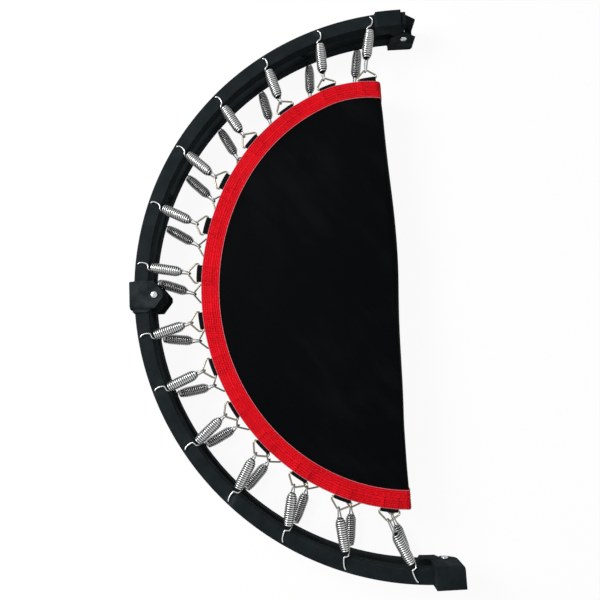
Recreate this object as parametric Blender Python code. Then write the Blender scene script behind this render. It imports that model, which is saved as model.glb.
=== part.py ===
"""Folding mini trampoline, folded in half, with its jumping sides outward.

Two half rings of square tube lie one over the other. Each half is two quarter tubes that a hinge
joins at the left (the mid hinge), and two more hinges join the halves at the fold line. The origin
is on the floor under the middle of the folded trampoline: +X runs from the mid hinges to the fold
line, +Y from the lower quarters to the upper ones, and +Z from the rear half to the front half.
"""

import math

import bmesh
import bpy
import numpy as np
from mathutils import Matrix, Vector

# Clearance between pieces that touch
GAP = 0.0003

# Frame tube
RING_RADIUS = 0.508
TUBE = 0.025
TUBE_WALL = 0.0015
TUBE_CHAMFER = 0.0018
TUBE_END_CLEARANCE = 0.0005
TUBE_SEGMENTS = 15

# Fold line and hinge pins
FOLD_X = 0.006
PIVOT_DEPTH = 0.037

# Folded sheet brackets
SHEET = 0.003
OUTER_HALF_LENGTH = 0.025
OUTER_SIDE_DEPTH = 0.0313
OUTER_EAR_REACH = 0.0147
OUTER_EAR_HALF_TIP = 0.004
INNER_SIDE_CLEARANCE = 0.0005
NEST_SIDE_CLEARANCE = 0.0008
INNER_START = 0.008
INNER_EAR_RADIUS = 0.011
INNER_REACH_MID = 0.029
INNER_REACH_FOLD = 0.057
HOLE_TO_BRACKET = 0.008

# Pivot bolts and nuts
SHANK_RADIUS = 0.003
BOLT_HOLE_RADIUS = 0.0033
HEAD_RADIUS = 0.006
HEAD_HEIGHT = 0.0032
NUT_RADIUS = 0.0058
NUT_HEIGHT = 0.0036
SHANK_PROTRUSION = 0.0003

# Studs for screw-on legs
STUD_RADIUS = 0.004
STUD_LENGTH = 0.010
STUD_FLANGE_RADIUS = 0.010
STUD_FLANGE = 0.003
STUD_ANGLES = (22.5, 67.5)

# Spring hooks, seven to a quarter
SPRINGS_PER_HALF = 14
HOLE_INSET = 0.005
HOLE_RADIUS = 0.002
FRONT_HOLE_TURN = 0.0
REAR_HOLE_TURN = 1.86
FRONT_LATE_HOLES = {0: 0.6, 1: -0.7, 2: -0.5, 3: -0.4, 7: 1.9, 13: 1.0}
REAR_LATE_HOLES = {1: -1.2, 2: -1.1, 3: -0.7}

# Mat, its edge webbing and its fold
MAT_CENTRE_X = -0.034
SPAN_AT_MID = 0.110
SPAN_AT_FOLD = 0.117
MAT_DEPTH = 0.005
MAT_THICKNESS = 0.001
MAT_EDGE_INSET = 0.002
BAND_WIDTH = 0.032
BAND_THICKNESS = 0.001
FOLD_TIP_X = -0.044
FOLD_TURN_X = -0.0545
PANEL_HINGE_CLEARANCE = 0.0007
STRIP_HINGE_CLEARANCE = 0.0001
LOOP_HINGE_CLEARANCE = 0.001
BAND_HINGE_CLEARANCE = 0.002
TIP_HINGE_CLEARANCE = 0.0024
RIM_SEGMENTS = 32
FOLD_SEGMENTS = 8

# Wire rings and webbing loops
RING_WIRE_RADIUS = 0.0015
RING_WIDTH = 0.036
RING_BASE_OFFSET = 0.0035
RING_APEX_OFFSET = 0.0204
RING_CORNER = 0.003
RING_HALF_TIP = 0.003
FRONT_RING_TURN = -0.35
REAR_RING_TURN = 3.6
RING_CROWD = 1.6
RING_CROWD_PLACE = 167
LOOP_WIDTH = 0.031
LOOP_LEG = 0.018
LOOP_THICKNESS = 0.0012

# Barrel springs
WIRE_RADIUS = 0.0012
SPRING_RADIUS = 0.008
SPRING_END_RADIUS = 0.0058
SPRING_START_HEIGHT = -0.0015
EYE_SHANK = 0.0136
SPRING_CURLS = 4
POINTS_PER_CURL = 8
HOOK_TIP = 0.0035
HOOK_CLEARANCE = 0.0004
EYE_CLEARANCE = 0.0008
PLAIN_STATIONS = 3
PLAIN_TAPER = 0.25

# Derived heights and places
TUBE_CENTRE_RADIUS = RING_RADIUS - TUBE / 2
HOLE_CIRCLE = RING_RADIUS - HOLE_INSET
MAT_HALF_X = HOLE_CIRCLE - SPAN_AT_MID + MAT_CENTRE_X
MAT_HALF_Y = HOLE_CIRCLE - SPAN_AT_FOLD
SPRING_START = 2 * WIRE_RADIUS
SPRING_BODY = SPAN_AT_MID - RING_APEX_OFFSET - (TUBE - HOLE_INSET) - SPRING_START - EYE_SHANK
WEB_STAND = 2 * (GAP + SHEET)
INNER_HALF_IN = TUBE / 2 + INNER_SIDE_CLEARANCE
INNER_HALF_OUT = INNER_HALF_IN + SHEET
OUTER_HALF_IN = INNER_HALF_OUT + NEST_SIDE_CLEARANCE
OUTER_HALF_OUT = OUTER_HALF_IN + SHEET
BOLT_OVERHANG = OUTER_HALF_OUT - TUBE / 2 + GAP + HEAD_HEIGHT
REAR_FACE_Z = max(BOLT_OVERHANG, WEB_STAND)
FOLD_Z = REAR_FACE_Z + PIVOT_DEPTH
CENTRE_X = (RING_RADIUS + WEB_STAND - FOLD_X - OUTER_HALF_LENGTH) / 2
FOLD_REACH = FOLD_TIP_X - FOLD_TURN_X
FOLD_HEIGHT = PIVOT_DEPTH - MAT_DEPTH
BAND_BOTTOM = MAT_THICKNESS / 2 + GAP + LOOP_THICKNESS + GAP

SIDES = {"front": 1, "rear": -1}
QUARTERS = {"upper": 1, "lower": -1}


def clear_scene():
    """Remove every object."""
    for old in list(bpy.data.objects):
        bpy.data.objects.remove(old, do_unlink=True)


def material(name, colour, roughness, metallic):
    """Make a plain Principled material."""
    mat = bpy.data.materials.new(name)
    mat.use_nodes = True
    shader = mat.node_tree.nodes["Principled BSDF"]
    shader.inputs["Base Color"].default_value = (*colour, 1.0)
    shader.inputs["Roughness"].default_value = roughness
    shader.inputs["Metallic"].default_value = metallic
    return mat


def link(name, data, mat, parent):
    """Put data in the scene as one named object, keeping its place in the world."""
    piece = bpy.data.objects.new(name, data)
    bpy.context.scene.collection.objects.link(piece)
    if mat is not None:
        data.materials.append(mat)
    if parent is not None:
        piece.parent = parent
        piece.matrix_parent_inverse = Matrix.Translation(-Vector(parent["place"]))
    return piece


def mesh_object(name, bm, mat=None, parent=None):
    """Finish a bmesh as an object with its faces outward and its round parts smooth."""
    bmesh.ops.recalc_face_normals(bm, faces=bm.faces)
    mesh = bpy.data.meshes.new(name)
    bm.to_mesh(mesh)
    bm.free()
    mesh.shade_smooth()
    mesh.set_sharp_from_angle(angle=math.radians(32))
    return link(name, mesh, mat, parent)


def pivot(name, place, parent=None):
    """Put an empty on a joint's axis."""
    empty = bpy.data.objects.new(name, None)
    bpy.context.scene.collection.objects.link(empty)
    empty["place"] = place
    if parent is None:
        empty.location = place
    else:
        empty.parent = parent
        empty.location = Vector(place) - Vector(parent["place"])
    return empty


def combine(piece, helper, operation):
    """Cut piece with a helper, join the helper to it, or keep what both share."""
    helper.hide_render = True
    helper.display_type = "WIRE"
    step = piece.modifiers.new(helper.name, "BOOLEAN")
    step.operation = operation
    step.solver = "EXACT"
    step.object = helper


def height(side, h):
    """World height of a level h above a half's jumping-side face, outward positive."""
    return FOLD_Z + side * (PIVOT_DEPTH + h)


def prism(bm, outline, place, start, end):
    """Add a straight prism: place(a, b, c) maps the outline's a, b and the length's c."""
    rings = [[bm.verts.new(place(a, b, c)) for a, b in outline] for c in (start, end)]
    count = len(outline)
    for i in range(count):
        j = (i + 1) % count
        bm.faces.new((rings[0][i], rings[0][j], rings[1][j], rings[1][i]))
    bm.faces.new(rings[0])
    bm.faces.new(rings[1])


def lathe(bm, profile, place, segments):
    """Turn a profile of (radius, along) points; place(a, b, c) maps across, across, along."""
    rings = []
    for radius, along in profile:
        if radius == 0:
            rings.append([bm.verts.new(place(0, 0, along))])
            continue
        turns = [2 * math.pi * i / segments for i in range(segments)]
        rings.append([bm.verts.new(place(radius * math.cos(t), radius * math.sin(t), along)) for t in turns])
    for low, high in zip(rings, rings[1:]):
        for i in range(segments):
            corners = [low[i % len(low)], low[(i + 1) % len(low)], high[(i + 1) % len(high)], high[i % len(high)]]
            bm.faces.new(list(dict.fromkeys(corners)))


def tube_stations(quarter, over=0.0):
    """Places along a quarter tube's centre line with their outward directions.

    over lengthens both ends along their tangents.
    """
    end = math.asin(TUBE_END_CLEARANCE / TUBE_CENTRE_RADIUS)
    stations = [(FOLD_X - TUBE_END_CLEARANCE + over, TUBE_CENTRE_RADIUS, 0.0, 1.0)]
    shares = [0, 0.5 / TUBE_SEGMENTS] + [i / TUBE_SEGMENTS for i in range(1, TUBE_SEGMENTS + 1)]
    for share in shares:
        turn = math.pi / 2 + (math.pi / 2 - end) * share
        out = (math.cos(turn), math.sin(turn))
        stations.append((TUBE_CENTRE_RADIUS * out[0], TUBE_CENTRE_RADIUS * out[1], *out))
    if over > 0:
        x, y, out_x, out_y = stations[-1]
        stations.append((x - over * out_y, y + over * out_x, out_x, out_y))
    return [(x, quarter * y, out_x, quarter * out_y) for x, y, out_x, out_y in stations]


def sweep(bm, stations, side, section):
    """Carry a section of (outward, height above the face) points along the stations."""
    rings = []
    for x, y, out_x, out_y in stations:
        ring = []
        for o, h in section:
            ring.append(bm.verts.new((CENTRE_X + x + o * out_x, y + o * out_y, height(side, h))))
        rings.append(ring)
    count = len(section)
    for low, high in zip(rings, rings[1:]):
        for i in range(count):
            j = (i + 1) % count
            bm.faces.new((low[i], low[j], high[j], high[i]))
    return rings[0], rings[-1]


def box_section(half, top, bottom, chamfer):
    """A rectangle with chamfered corners, as (outward, height) points, two to a corner."""
    return [(half, top - chamfer), (half - chamfer, top), (chamfer - half, top), (-half, top - chamfer),
            (-half, bottom + chamfer), (chamfer - half, bottom), (half - chamfer, bottom), (half, bottom + chamfer)]


def tube_piece(name, side, quarter, mat, parent):
    """One hollow quarter tube, drilled for its seven spring hooks, with its two leg studs."""
    bm = bmesh.new()
    stations = tube_stations(quarter)
    outer_ends = sweep(bm, stations, side, box_section(TUBE / 2, 0, -TUBE, TUBE_CHAMFER))
    bore = TUBE / 2 - TUBE_WALL
    corners = [(bore, -TUBE_WALL), (-bore, -TUBE_WALL), (-bore, TUBE_WALL - TUBE), (bore, TUBE_WALL - TUBE)]
    inner_ends = sweep(bm, stations, side, corners)
    for outer, inner in zip(outer_ends, inner_ends):
        for i in range(4):
            bm.faces.new((outer[2 * i], outer[2 * i + 1], inner[i]))
            j = (i + 1) % 4
            bm.faces.new((outer[2 * i + 1], outer[(2 * i + 2) % 8], inner[j], inner[i]))
    tube = mesh_object(name, bm, mat, parent)
    bm = bmesh.new()
    for k in range(SPRINGS_PER_HALF):
        x, y = hook_hole(side, k)
        if y * quarter > 0:
            profile = [(0, -2 * TUBE_WALL), (HOLE_RADIUS, -2 * TUBE_WALL), (HOLE_RADIUS, TUBE_WALL), (0, TUBE_WALL)]
            lathe(bm, profile, lambda a, b, c: (CENTRE_X + x + a, y + b, height(side, c)), 6)
    combine(tube, mesh_object("cut_holes_" + name, bm), "DIFFERENCE")
    combine(tube, leg_studs(name, side, quarter), "UNION")


def nominal_turn(k):
    """Angle of place k of a half's fourteen, in degrees from +X."""
    return 90 + 180 * (k + 0.5) / SPRINGS_PER_HALF


def hook_hole(side, k):
    """Place of hook hole k from the ring's centre."""
    late = (FRONT_LATE_HOLES if side > 0 else REAR_LATE_HOLES).get(k, 0.0)
    turn = math.radians(nominal_turn(k) + (FRONT_HOLE_TURN if side > 0 else REAR_HOLE_TURN) + late)
    return HOLE_CIRCLE * math.cos(turn), HOLE_CIRCLE * math.sin(turn)


def rim_spot(turn):
    """Place on the mat's rim at an angle of its ellipse, with the rim's outward direction."""
    place = Vector((MAT_CENTRE_X + MAT_HALF_X * math.cos(turn), MAT_HALF_Y * math.sin(turn)))
    out = Vector((math.cos(turn) / MAT_HALF_X, math.sin(turn) / MAT_HALF_Y)).normalized()
    return place, out


def rim_place(side, k):
    """Place on the rim that carries ring k, moved back where its loop would reach the fold.

    The rings crowd a little along the slack rim, away from where it hangs nearest the mid hinge.
    """
    crowd = RING_CROWD * math.cos(2 * math.radians(nominal_turn(k) - RING_CROWD_PLACE))
    turn = math.radians(nominal_turn(k) + (FRONT_RING_TURN if side > 0 else REAR_RING_TURN) + crowd)
    step = math.radians(0.1) * (1 if turn < math.pi else -1)
    while True:
        place, out = rim_spot(turn)
        corner_x = place.x - LOOP_LEG * out.x + LOOP_WIDTH / 2 * abs(out.y)
        if corner_x <= FOLD_TURN_X - LOOP_HINGE_CLEARANCE:
            return place, out
        turn += step


def hinge_frame(side, quarter, mid):
    """Map (u, v, w) at a hinge to the world.

    u runs along the tube away from the given quarter, v from the tube's far face toward the pin,
    and w along the pin toward the bolt's head.
    """
    if mid:
        origin = Vector((CENTRE_X - RING_RADIUS, 0, height(side, -TUBE / 2)))
        along = Vector((0, -quarter, 0))
        depth = Vector((1, 0, 0))
        pin = Vector((0, 0, side))
    else:
        origin = Vector((CENTRE_X + FOLD_X, quarter * TUBE_CENTRE_RADIUS, height(side, 0)))
        along = Vector((1, 0, 0))
        depth = Vector((0, 0, -side))
        pin = Vector((0, -quarter, 0))
    return lambda u, v, w: origin + u * along + v * depth + w * pin


def bolt_hole(name, place):
    """Cutter for a pin's hole through a bracket."""
    bm = bmesh.new()
    reach = 2 * OUTER_HALF_OUT
    profile = [(0, -reach), (BOLT_HOLE_RADIUS, -reach), (BOLT_HOLE_RADIUS, reach), (0, reach)]
    lathe(bm, profile, lambda a, b, c: place(a, PIVOT_DEPTH + b, c), 10)
    return mesh_object("cut_bolt_" + name, bm)


def tube_clearance(name, side, quarter):
    """Cutter of a quarter tube with the clearance round it."""
    bm = bmesh.new()
    section = box_section(TUBE / 2 + GAP, GAP, -TUBE - GAP, TUBE_CHAMFER)
    for end in sweep(bm, tube_stations(quarter, TUBE), side, section):
        bm.faces.new(end)
    return mesh_object("cut_tube_" + name, bm)


def outer_bracket(name, side, quarter, mid, mat, parent):
    """Wide bracket: welded round its own tube's end, open for the narrow one beyond the joint."""
    place = hinge_frame(side, quarter, mid)
    tip = PIVOT_DEPTH + OUTER_EAR_REACH
    outline = [(-OUTER_HALF_LENGTH, -WEB_STAND), (OUTER_HALF_LENGTH, -WEB_STAND),
               (OUTER_HALF_LENGTH, OUTER_SIDE_DEPTH), (OUTER_EAR_HALF_TIP, tip),
               (-OUTER_EAR_HALF_TIP, tip), (-OUTER_HALF_LENGTH, OUTER_SIDE_DEPTH)]
    bm = bmesh.new()
    prism(bm, outline, place, -OUTER_HALF_OUT, OUTER_HALF_OUT)
    bracket = mesh_object(name, bm, mat, parent)

    far = 2 * PIVOT_DEPTH
    end = TUBE_END_CLEARANCE
    own = PIVOT_DEPTH - INNER_EAR_RADIUS - GAP - SHEET / 2
    length = 2 * OUTER_HALF_LENGTH
    cavity = [(-end, SHEET - WEB_STAND), (length, SHEET - WEB_STAND), (length, far), (-length, far), (-length, own),
              (-end, own)]
    bm = bmesh.new()
    prism(bm, cavity, place, -OUTER_HALF_IN, OUTER_HALF_IN)
    combine(bracket, mesh_object("cut_cavity_" + name, bm), "DIFFERENCE")
    combine(bracket, tube_clearance(name, side, quarter), "DIFFERENCE")
    combine(bracket, bolt_hole(name, place), "DIFFERENCE")


def inner_bracket(name, side, quarter, mid, mat, parent):
    """Narrow bracket: follows its own tube's arc and reaches the pin inside the wide one."""
    place = hinge_frame(side, quarter, mid)
    reach = INNER_REACH_MID if mid else min(INNER_REACH_FOLD, first_hole(side, quarter) - HOLE_TO_BRACKET)
    skin = GAP + SHEET
    shoulder = min(INNER_REACH_MID, reach) - GAP
    outline = [(-INNER_START, -skin), (-reach, -skin), (-reach, TUBE), (-shoulder, TUBE + GAP)]
    for turn in (120, 90, 50, 0, -50, -90):
        rad = math.radians(turn)
        outline.append((INNER_EAR_RADIUS * math.cos(rad), PIVOT_DEPTH + INNER_EAR_RADIUS * math.sin(rad)))
    bm = bmesh.new()
    prism(bm, outline, place, -TUBE, TUBE)
    bracket = mesh_object(name, bm, mat, parent)

    bm = bmesh.new()
    stations = tube_stations(quarter, TUBE)
    far = 2 * PIVOT_DEPTH
    for end in sweep(bm, stations, side, inner_section(mid, INNER_HALF_OUT, skin, far)):
        bm.faces.new(end)
    combine(bracket, mesh_object("keep_envelope_" + name, bm), "INTERSECT")
    bm = bmesh.new()
    for end in sweep(bm, stations, side, inner_section(mid, INNER_HALF_IN, GAP, far + SHEET)):
        bm.faces.new(end)
    combine(bracket, mesh_object("cut_inside_" + name, bm), "DIFFERENCE")
    combine(bracket, bolt_hole(name, place), "DIFFERENCE")


def inner_section(mid, half, skin, far):
    """Rectangle round the tube: half wide across the pin's direction, from the web to far inward."""
    if mid:
        low, high = -TUBE / 2 - half, half - TUBE / 2
        outward = TUBE / 2 + skin
        return [(outward, low), (outward, high), (TUBE / 2 - far, high), (TUBE / 2 - far, low)]
    return [(half, skin), (-half, skin), (-half, -far), (half, -far)]


def first_hole(side, quarter):
    """Distance along X from the fold line's pins to a quarter's nearest hook hole."""
    places = [hook_hole(side, k) for k in range(SPRINGS_PER_HALF)]
    return min(FOLD_X - x for x, y in places if y * quarter > 0)


def bolt_and_nut(names, side, quarter, mid, mat, parent):
    """Pivot bolt with its domed head, and its nut."""
    place = hinge_frame(side, quarter, mid)
    seat = OUTER_HALF_OUT + GAP
    tip = -seat - NUT_HEIGHT - SHANK_PROTRUSION
    profile = [(0, tip), (SHANK_RADIUS, tip), (SHANK_RADIUS, seat), (HEAD_RADIUS, seat),
               (HEAD_RADIUS, seat + HEAD_HEIGHT / 3), (HEAD_RADIUS * 0.7, seat + HEAD_HEIGHT),
               (0, seat + HEAD_HEIGHT)]
    bm = bmesh.new()
    lathe(bm, profile, lambda a, b, c: place(a, PIVOT_DEPTH + b, c), 10)
    mesh_object(names[0], bm, mat, parent)
    bm = bmesh.new()
    bore = BOLT_HOLE_RADIUS / math.cos(math.pi / 6)
    rings = [(bore, -seat - NUT_HEIGHT), (NUT_RADIUS, -seat - NUT_HEIGHT), (NUT_RADIUS, -seat), (bore, -seat)]
    lathe(bm, rings + rings[:1], lambda a, b, c: place(a, PIVOT_DEPTH + b, c), 6)
    bmesh.ops.remove_doubles(bm, verts=bm.verts, dist=GAP / 10)
    mesh_object(names[1], bm, mat, parent)


def leg_studs(name, side, quarter):
    """Two studs under a quarter tube for screw-on legs, each on a flange let a little into the wall."""
    bm = bmesh.new()
    top = TUBE_WALL / 3 - TUBE
    seat = -TUBE - STUD_FLANGE
    end = -TUBE - STUD_LENGTH
    profile = [(0, top), (STUD_FLANGE_RADIUS, top), (STUD_FLANGE_RADIUS, seat), (STUD_RADIUS, seat),
               (STUD_RADIUS, end), (0, end)]
    for angle in STUD_ANGLES:
        turn = math.radians(90 + angle)
        x = CENTRE_X + TUBE_CENTRE_RADIUS * math.cos(turn)
        y = quarter * TUBE_CENTRE_RADIUS * math.sin(turn)
        lathe(bm, profile, lambda a, b, c: (x + a, y + b, height(side, c)), 8)
    return mesh_object("join_studs_" + name, bm)


def rim_frame(side, k):
    """Map (outward from the rim, along the rim, above the mat) at ring k to the world."""
    place, out = rim_place(side, k)
    level = -MAT_DEPTH
    return lambda a, b, c: Vector((CENTRE_X + place.x + a * out.x - b * out.y, place.y + a * out.y + b * out.x,
                                   height(side, level + c)))


def spring_object(name, path, mat, parent):
    """A spring's wire as one round tube along a path of (point, share of the wire's radius)."""
    curve = bpy.data.curves.new(name, "CURVE")
    curve.dimensions = "3D"
    curve.bevel_depth = WIRE_RADIUS
    curve.bevel_resolution = 1
    curve.use_fill_caps = True
    spline = curve.splines.new("POLY")
    spline.points.add(len(path) - 1)
    for point, (where, share) in zip(spline.points, path):
        point.co = (*where, 1.0)
        point.radius = share
    return link(name, curve, mat, parent)


def ring_outline():
    """Centre line of a triangular wire ring: its base lies in the loop, its tip holds the spring."""
    half = RING_WIDTH / 2 - RING_WIRE_RADIUS
    corner = RING_CORNER
    base, tip = RING_BASE_OFFSET, RING_APEX_OFFSET
    return [(base, corner - half), (base, half - corner), (base + corner * 0.8, half), (tip, RING_HALF_TIP),
            (tip, -RING_HALF_TIP), (base + corner * 0.8, -half)]


def add_ring(bm, place):
    """Add a closed wire along the ring's outline, mitred at its bends."""
    spots = [Vector(spot) for spot in ring_outline()]
    rings = []
    for i, spot in enumerate(spots):
        before = (spot - spots[i - 1]).normalized()
        after = (spots[(i + 1) % len(spots)] - spot).normalized()
        along = (before + after).normalized()
        across = Vector((-along.y, along.x)) / along.dot(before)
        ring = []
        for turn in range(6):
            rad = math.radians(60 * turn)
            edge = spot + across * RING_WIRE_RADIUS * math.cos(rad)
            ring.append(bm.verts.new(place(edge.x, edge.y, RING_WIRE_RADIUS * math.sin(rad))))
        rings.append(ring)
    for i, ring in enumerate(rings):
        after = rings[(i + 1) % len(rings)]
        for j in range(6):
            k = (j + 1) % 6
            bm.faces.new((ring[j], ring[k], after[k], after[j]))


def loop_outline():
    """Side view of a webbing loop: two legs sewn to the mat, and a nose round the ring's wire."""
    bore = RING_WIRE_RADIUS + GAP
    shell = bore + LOOP_THICKNESS
    centre = RING_BASE_OFFSET
    leg = MAT_THICKNESS / 2 + GAP + LOOP_THICKNESS
    half = [(-LOOP_LEG, leg), (GAP, leg), (centre + bore / 3, shell * 1.16), (centre + shell * 1.23, 0)]
    return half + [(a, -c) for a, c in reversed(half[:-1])]


def mat_panel(name, side, mat, parent):
    """Half of the jumping mat up to where it turns the fold, with its sewn loops and their rings."""
    outline = rim_points(MAT_EDGE_INSET, FOLD_TURN_X - PANEL_HINGE_CLEARANCE, 0, RIM_SEGMENTS)
    bm = bmesh.new()
    half = MAT_THICKNESS / 2
    prism(bm, outline, lambda a, b, c: (a, b, height(side, c - MAT_DEPTH)), -half, half)
    panel = mesh_object(name, bm, mat, parent)
    bm = bmesh.new()
    rings = bmesh.new()
    for k in range(SPRINGS_PER_HALF):
        frame = rim_frame(side, k)
        prism(bm, loop_outline(), lambda a, c, b: frame(a, b, c), -LOOP_WIDTH / 2, LOOP_WIDTH / 2)
        add_ring(rings, frame)
    combine(panel, mesh_object("join_loops_" + name, bm), "UNION")
    combine(panel, mesh_object("join_rings_" + name, rings), "UNION")


def spring_frame(side, k):
    """Map (along the spring, sideways, above the tube's face) to the world, with the two lengths.

    The first length is where the spring crosses the tube's inner edge, the second where the ring's
    wire lies.
    """
    hole = Vector(hook_hole(side, k))
    place, out = rim_place(side, k)
    apex = place + RING_APEX_OFFSET * out
    line = apex - hole
    length = line.length
    line.normalize()
    edge = (TUBE - HOLE_INSET) / -line.dot(hole.normalized())

    def to_world(a, s, h):
        return Vector((CENTRE_X + hole.x + a * line.x - s * line.y, hole.y + a * line.y + s * line.x,
                       height(side, h)))

    return to_world, edge, length


def hook_points(edge):
    """The hook from its tip in the tube to the inner edge, as (along, height)."""
    lift = WIRE_RADIUS + HOOK_CLEARANCE
    return [(0, -HOOK_TIP), (0, -TUBE_WALL / 3), (WIRE_RADIUS, lift * 0.8), (3 * WIRE_RADIUS, lift),
            (edge - TUBE_CHAMFER - WIRE_RADIUS, lift), (edge - GAP, lift * 0.8)]


def eye_points(length):
    """The bent eye round the ring's tip, as (along, height)."""
    radius = RING_WIRE_RADIUS + WIRE_RADIUS + EYE_CLEARANCE
    points = []
    for turn in (110, 60, 10, -40, -90):
        rad = math.radians(turn)
        points.append((length + radius * math.cos(rad), radius * math.sin(rad) - MAT_DEPTH))
    return points


def axis_height(share):
    """Height of a spring's axis at a share of its body, which leans from the frame to the mat."""
    return SPRING_START_HEIGHT - (SPRING_START_HEIGHT + MAT_DEPTH) * share


def wound_path(side, k):
    """A barrel spring as one wire: hook, curls and eye."""
    to_world, edge, length = spring_frame(side, k)
    start = edge + SPRING_START
    path = [to_world(a, 0, h) for a, h in hook_points(edge)]
    steps = round(SPRING_CURLS * POINTS_PER_CURL)
    barrel = SPRING_RADIUS - SPRING_END_RADIUS
    for i in range(steps + 1):
        share = i / steps
        turn = 2 * math.pi * SPRING_CURLS * share
        radius = SPRING_END_RADIUS - WIRE_RADIUS + barrel * math.sin(math.pi * share)
        path.append(to_world(start + SPRING_BODY * share, radius * math.sin(turn),
                             axis_height(share) + radius * math.cos(turn)))
    path += [to_world(a, 0, h) for a, h in eye_points(length)]
    return [(where, 1.0) for where in path]


def plain_path(side, k):
    """A barrel spring's outer shape: a tube that swells between its hook and its eye."""
    to_world, edge, length = spring_frame(side, k)
    start = edge + SPRING_START
    path = [(to_world(a, 0, h), 1.0) for a, h in hook_points(edge)]
    path.append((to_world(start, 0, axis_height(0) / 2), 1.0))
    lead = SPRING_BODY / 6
    for i in range(PLAIN_STATIONS):
        share = i / (PLAIN_STATIONS - 1)
        radius = SPRING_RADIUS * (1 - PLAIN_TAPER + PLAIN_TAPER * math.sin(math.pi * share))
        along = lead + (SPRING_BODY - 2 * lead) * share
        path.append((to_world(start + along, 0, axis_height(along / SPRING_BODY)), radius / WIRE_RADIUS))
    path.append((to_world(start + SPRING_BODY, 0, axis_height(1)), 1.0))
    path += [(to_world(a, 0, h), 1.0) for a, h in eye_points(length)]
    return path


def least_gap(path, radius):
    """Least distance between two turns of one wire, measured on points along its centre line."""
    points = [where for where, share in path]
    fine = []
    for a, b in zip(points, points[1:]):
        steps = max(1, round((b - a).length / radius))
        fine += [a.lerp(b, i / steps) for i in range(steps)]
    fine.append(points[-1])
    spots = np.array([tuple(p) for p in fine])
    run = np.concatenate(([0.0], np.cumsum(np.linalg.norm(np.diff(spots, axis=0), axis=1))))
    apart = np.abs(run[:, None] - run[None, :]) > 8 * radius
    distance = np.linalg.norm(spots[:, None] - spots[None, :], axis=2)
    return distance[apart].min() - 2 * radius


def rim_points(inset, end_x, low, high):
    """Points of an inset half rim between two parts of it that end at the same X."""
    half_x, half_y = MAT_HALF_X - inset, MAT_HALF_Y - inset
    first = math.acos((end_x - MAT_CENTRE_X) / half_x)
    turns = [first + (2 * math.pi - 2 * first) * i / RIM_SEGMENTS for i in range(low, high + 1)]
    return [(CENTRE_X + MAT_CENTRE_X + half_x * math.cos(t), half_y * math.sin(t)) for t in turns]


def band(name, side, mat, parent):
    """Red webbing round half of the mat's rim."""
    end_x = FOLD_TURN_X - BAND_HINGE_CLEARANCE
    outer = rim_points(0, end_x, 0, RIM_SEGMENTS)
    inner = rim_points(BAND_WIDTH, end_x, 0, RIM_SEGMENTS)
    low = height(side, BAND_BOTTOM - MAT_DEPTH)
    high = height(side, BAND_BOTTOM + BAND_THICKNESS - MAT_DEPTH)
    bm = bmesh.new()
    rings = []
    for (ox, oy), (ix, iy) in zip(outer, inner):
        corners = ((ox, oy, low), (ox, oy, high), (ix, iy, high), (ix, iy, low))
        rings.append([bm.verts.new(corner) for corner in corners])
    for one, two in zip(rings, rings[1:]):
        for i in range(4):
            j = (i + 1) % 4
            bm.faces.new((one[i], one[j], two[j], two[i]))
    bm.faces.new(rings[0])
    bm.faces.new(rings[-1])
    mesh_object(name, bm, mat, parent)


def fold_outline(start, low, high):
    """Side view of a strip that follows the fold, between two offsets from the mat's middle."""
    first = math.asin(start / FOLD_REACH)
    last = math.acos(GAP / FOLD_HEIGHT)
    inner, outer = [], []
    for i in range(FOLD_SEGMENTS + 1):
        turn = first + (last - first) * i / FOLD_SEGMENTS
        spot = Vector((FOLD_REACH * math.sin(turn), FOLD_HEIGHT * (math.cos(turn) - 1)))
        out = Vector((FOLD_HEIGHT * math.sin(turn), FOLD_REACH * math.cos(turn))).normalized()
        inner.append(tuple(spot + low * out))
        outer.append(tuple(spot + high * out))
    return inner + outer[::-1]


def fold_strip(name, side, start, low, high, spans, mat, parent):
    """Strips of mat or webbing round one side of the fold, one to each span of Y."""
    outline = fold_outline(start, low, high)
    bm = bmesh.new()
    for first, last in spans:
        prism(bm, outline, lambda a, b, c: (CENTRE_X + FOLD_TURN_X + a, c, height(side, b - MAT_DEPTH)), first, last)
    mesh_object(name, bm, mat, parent)


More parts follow.
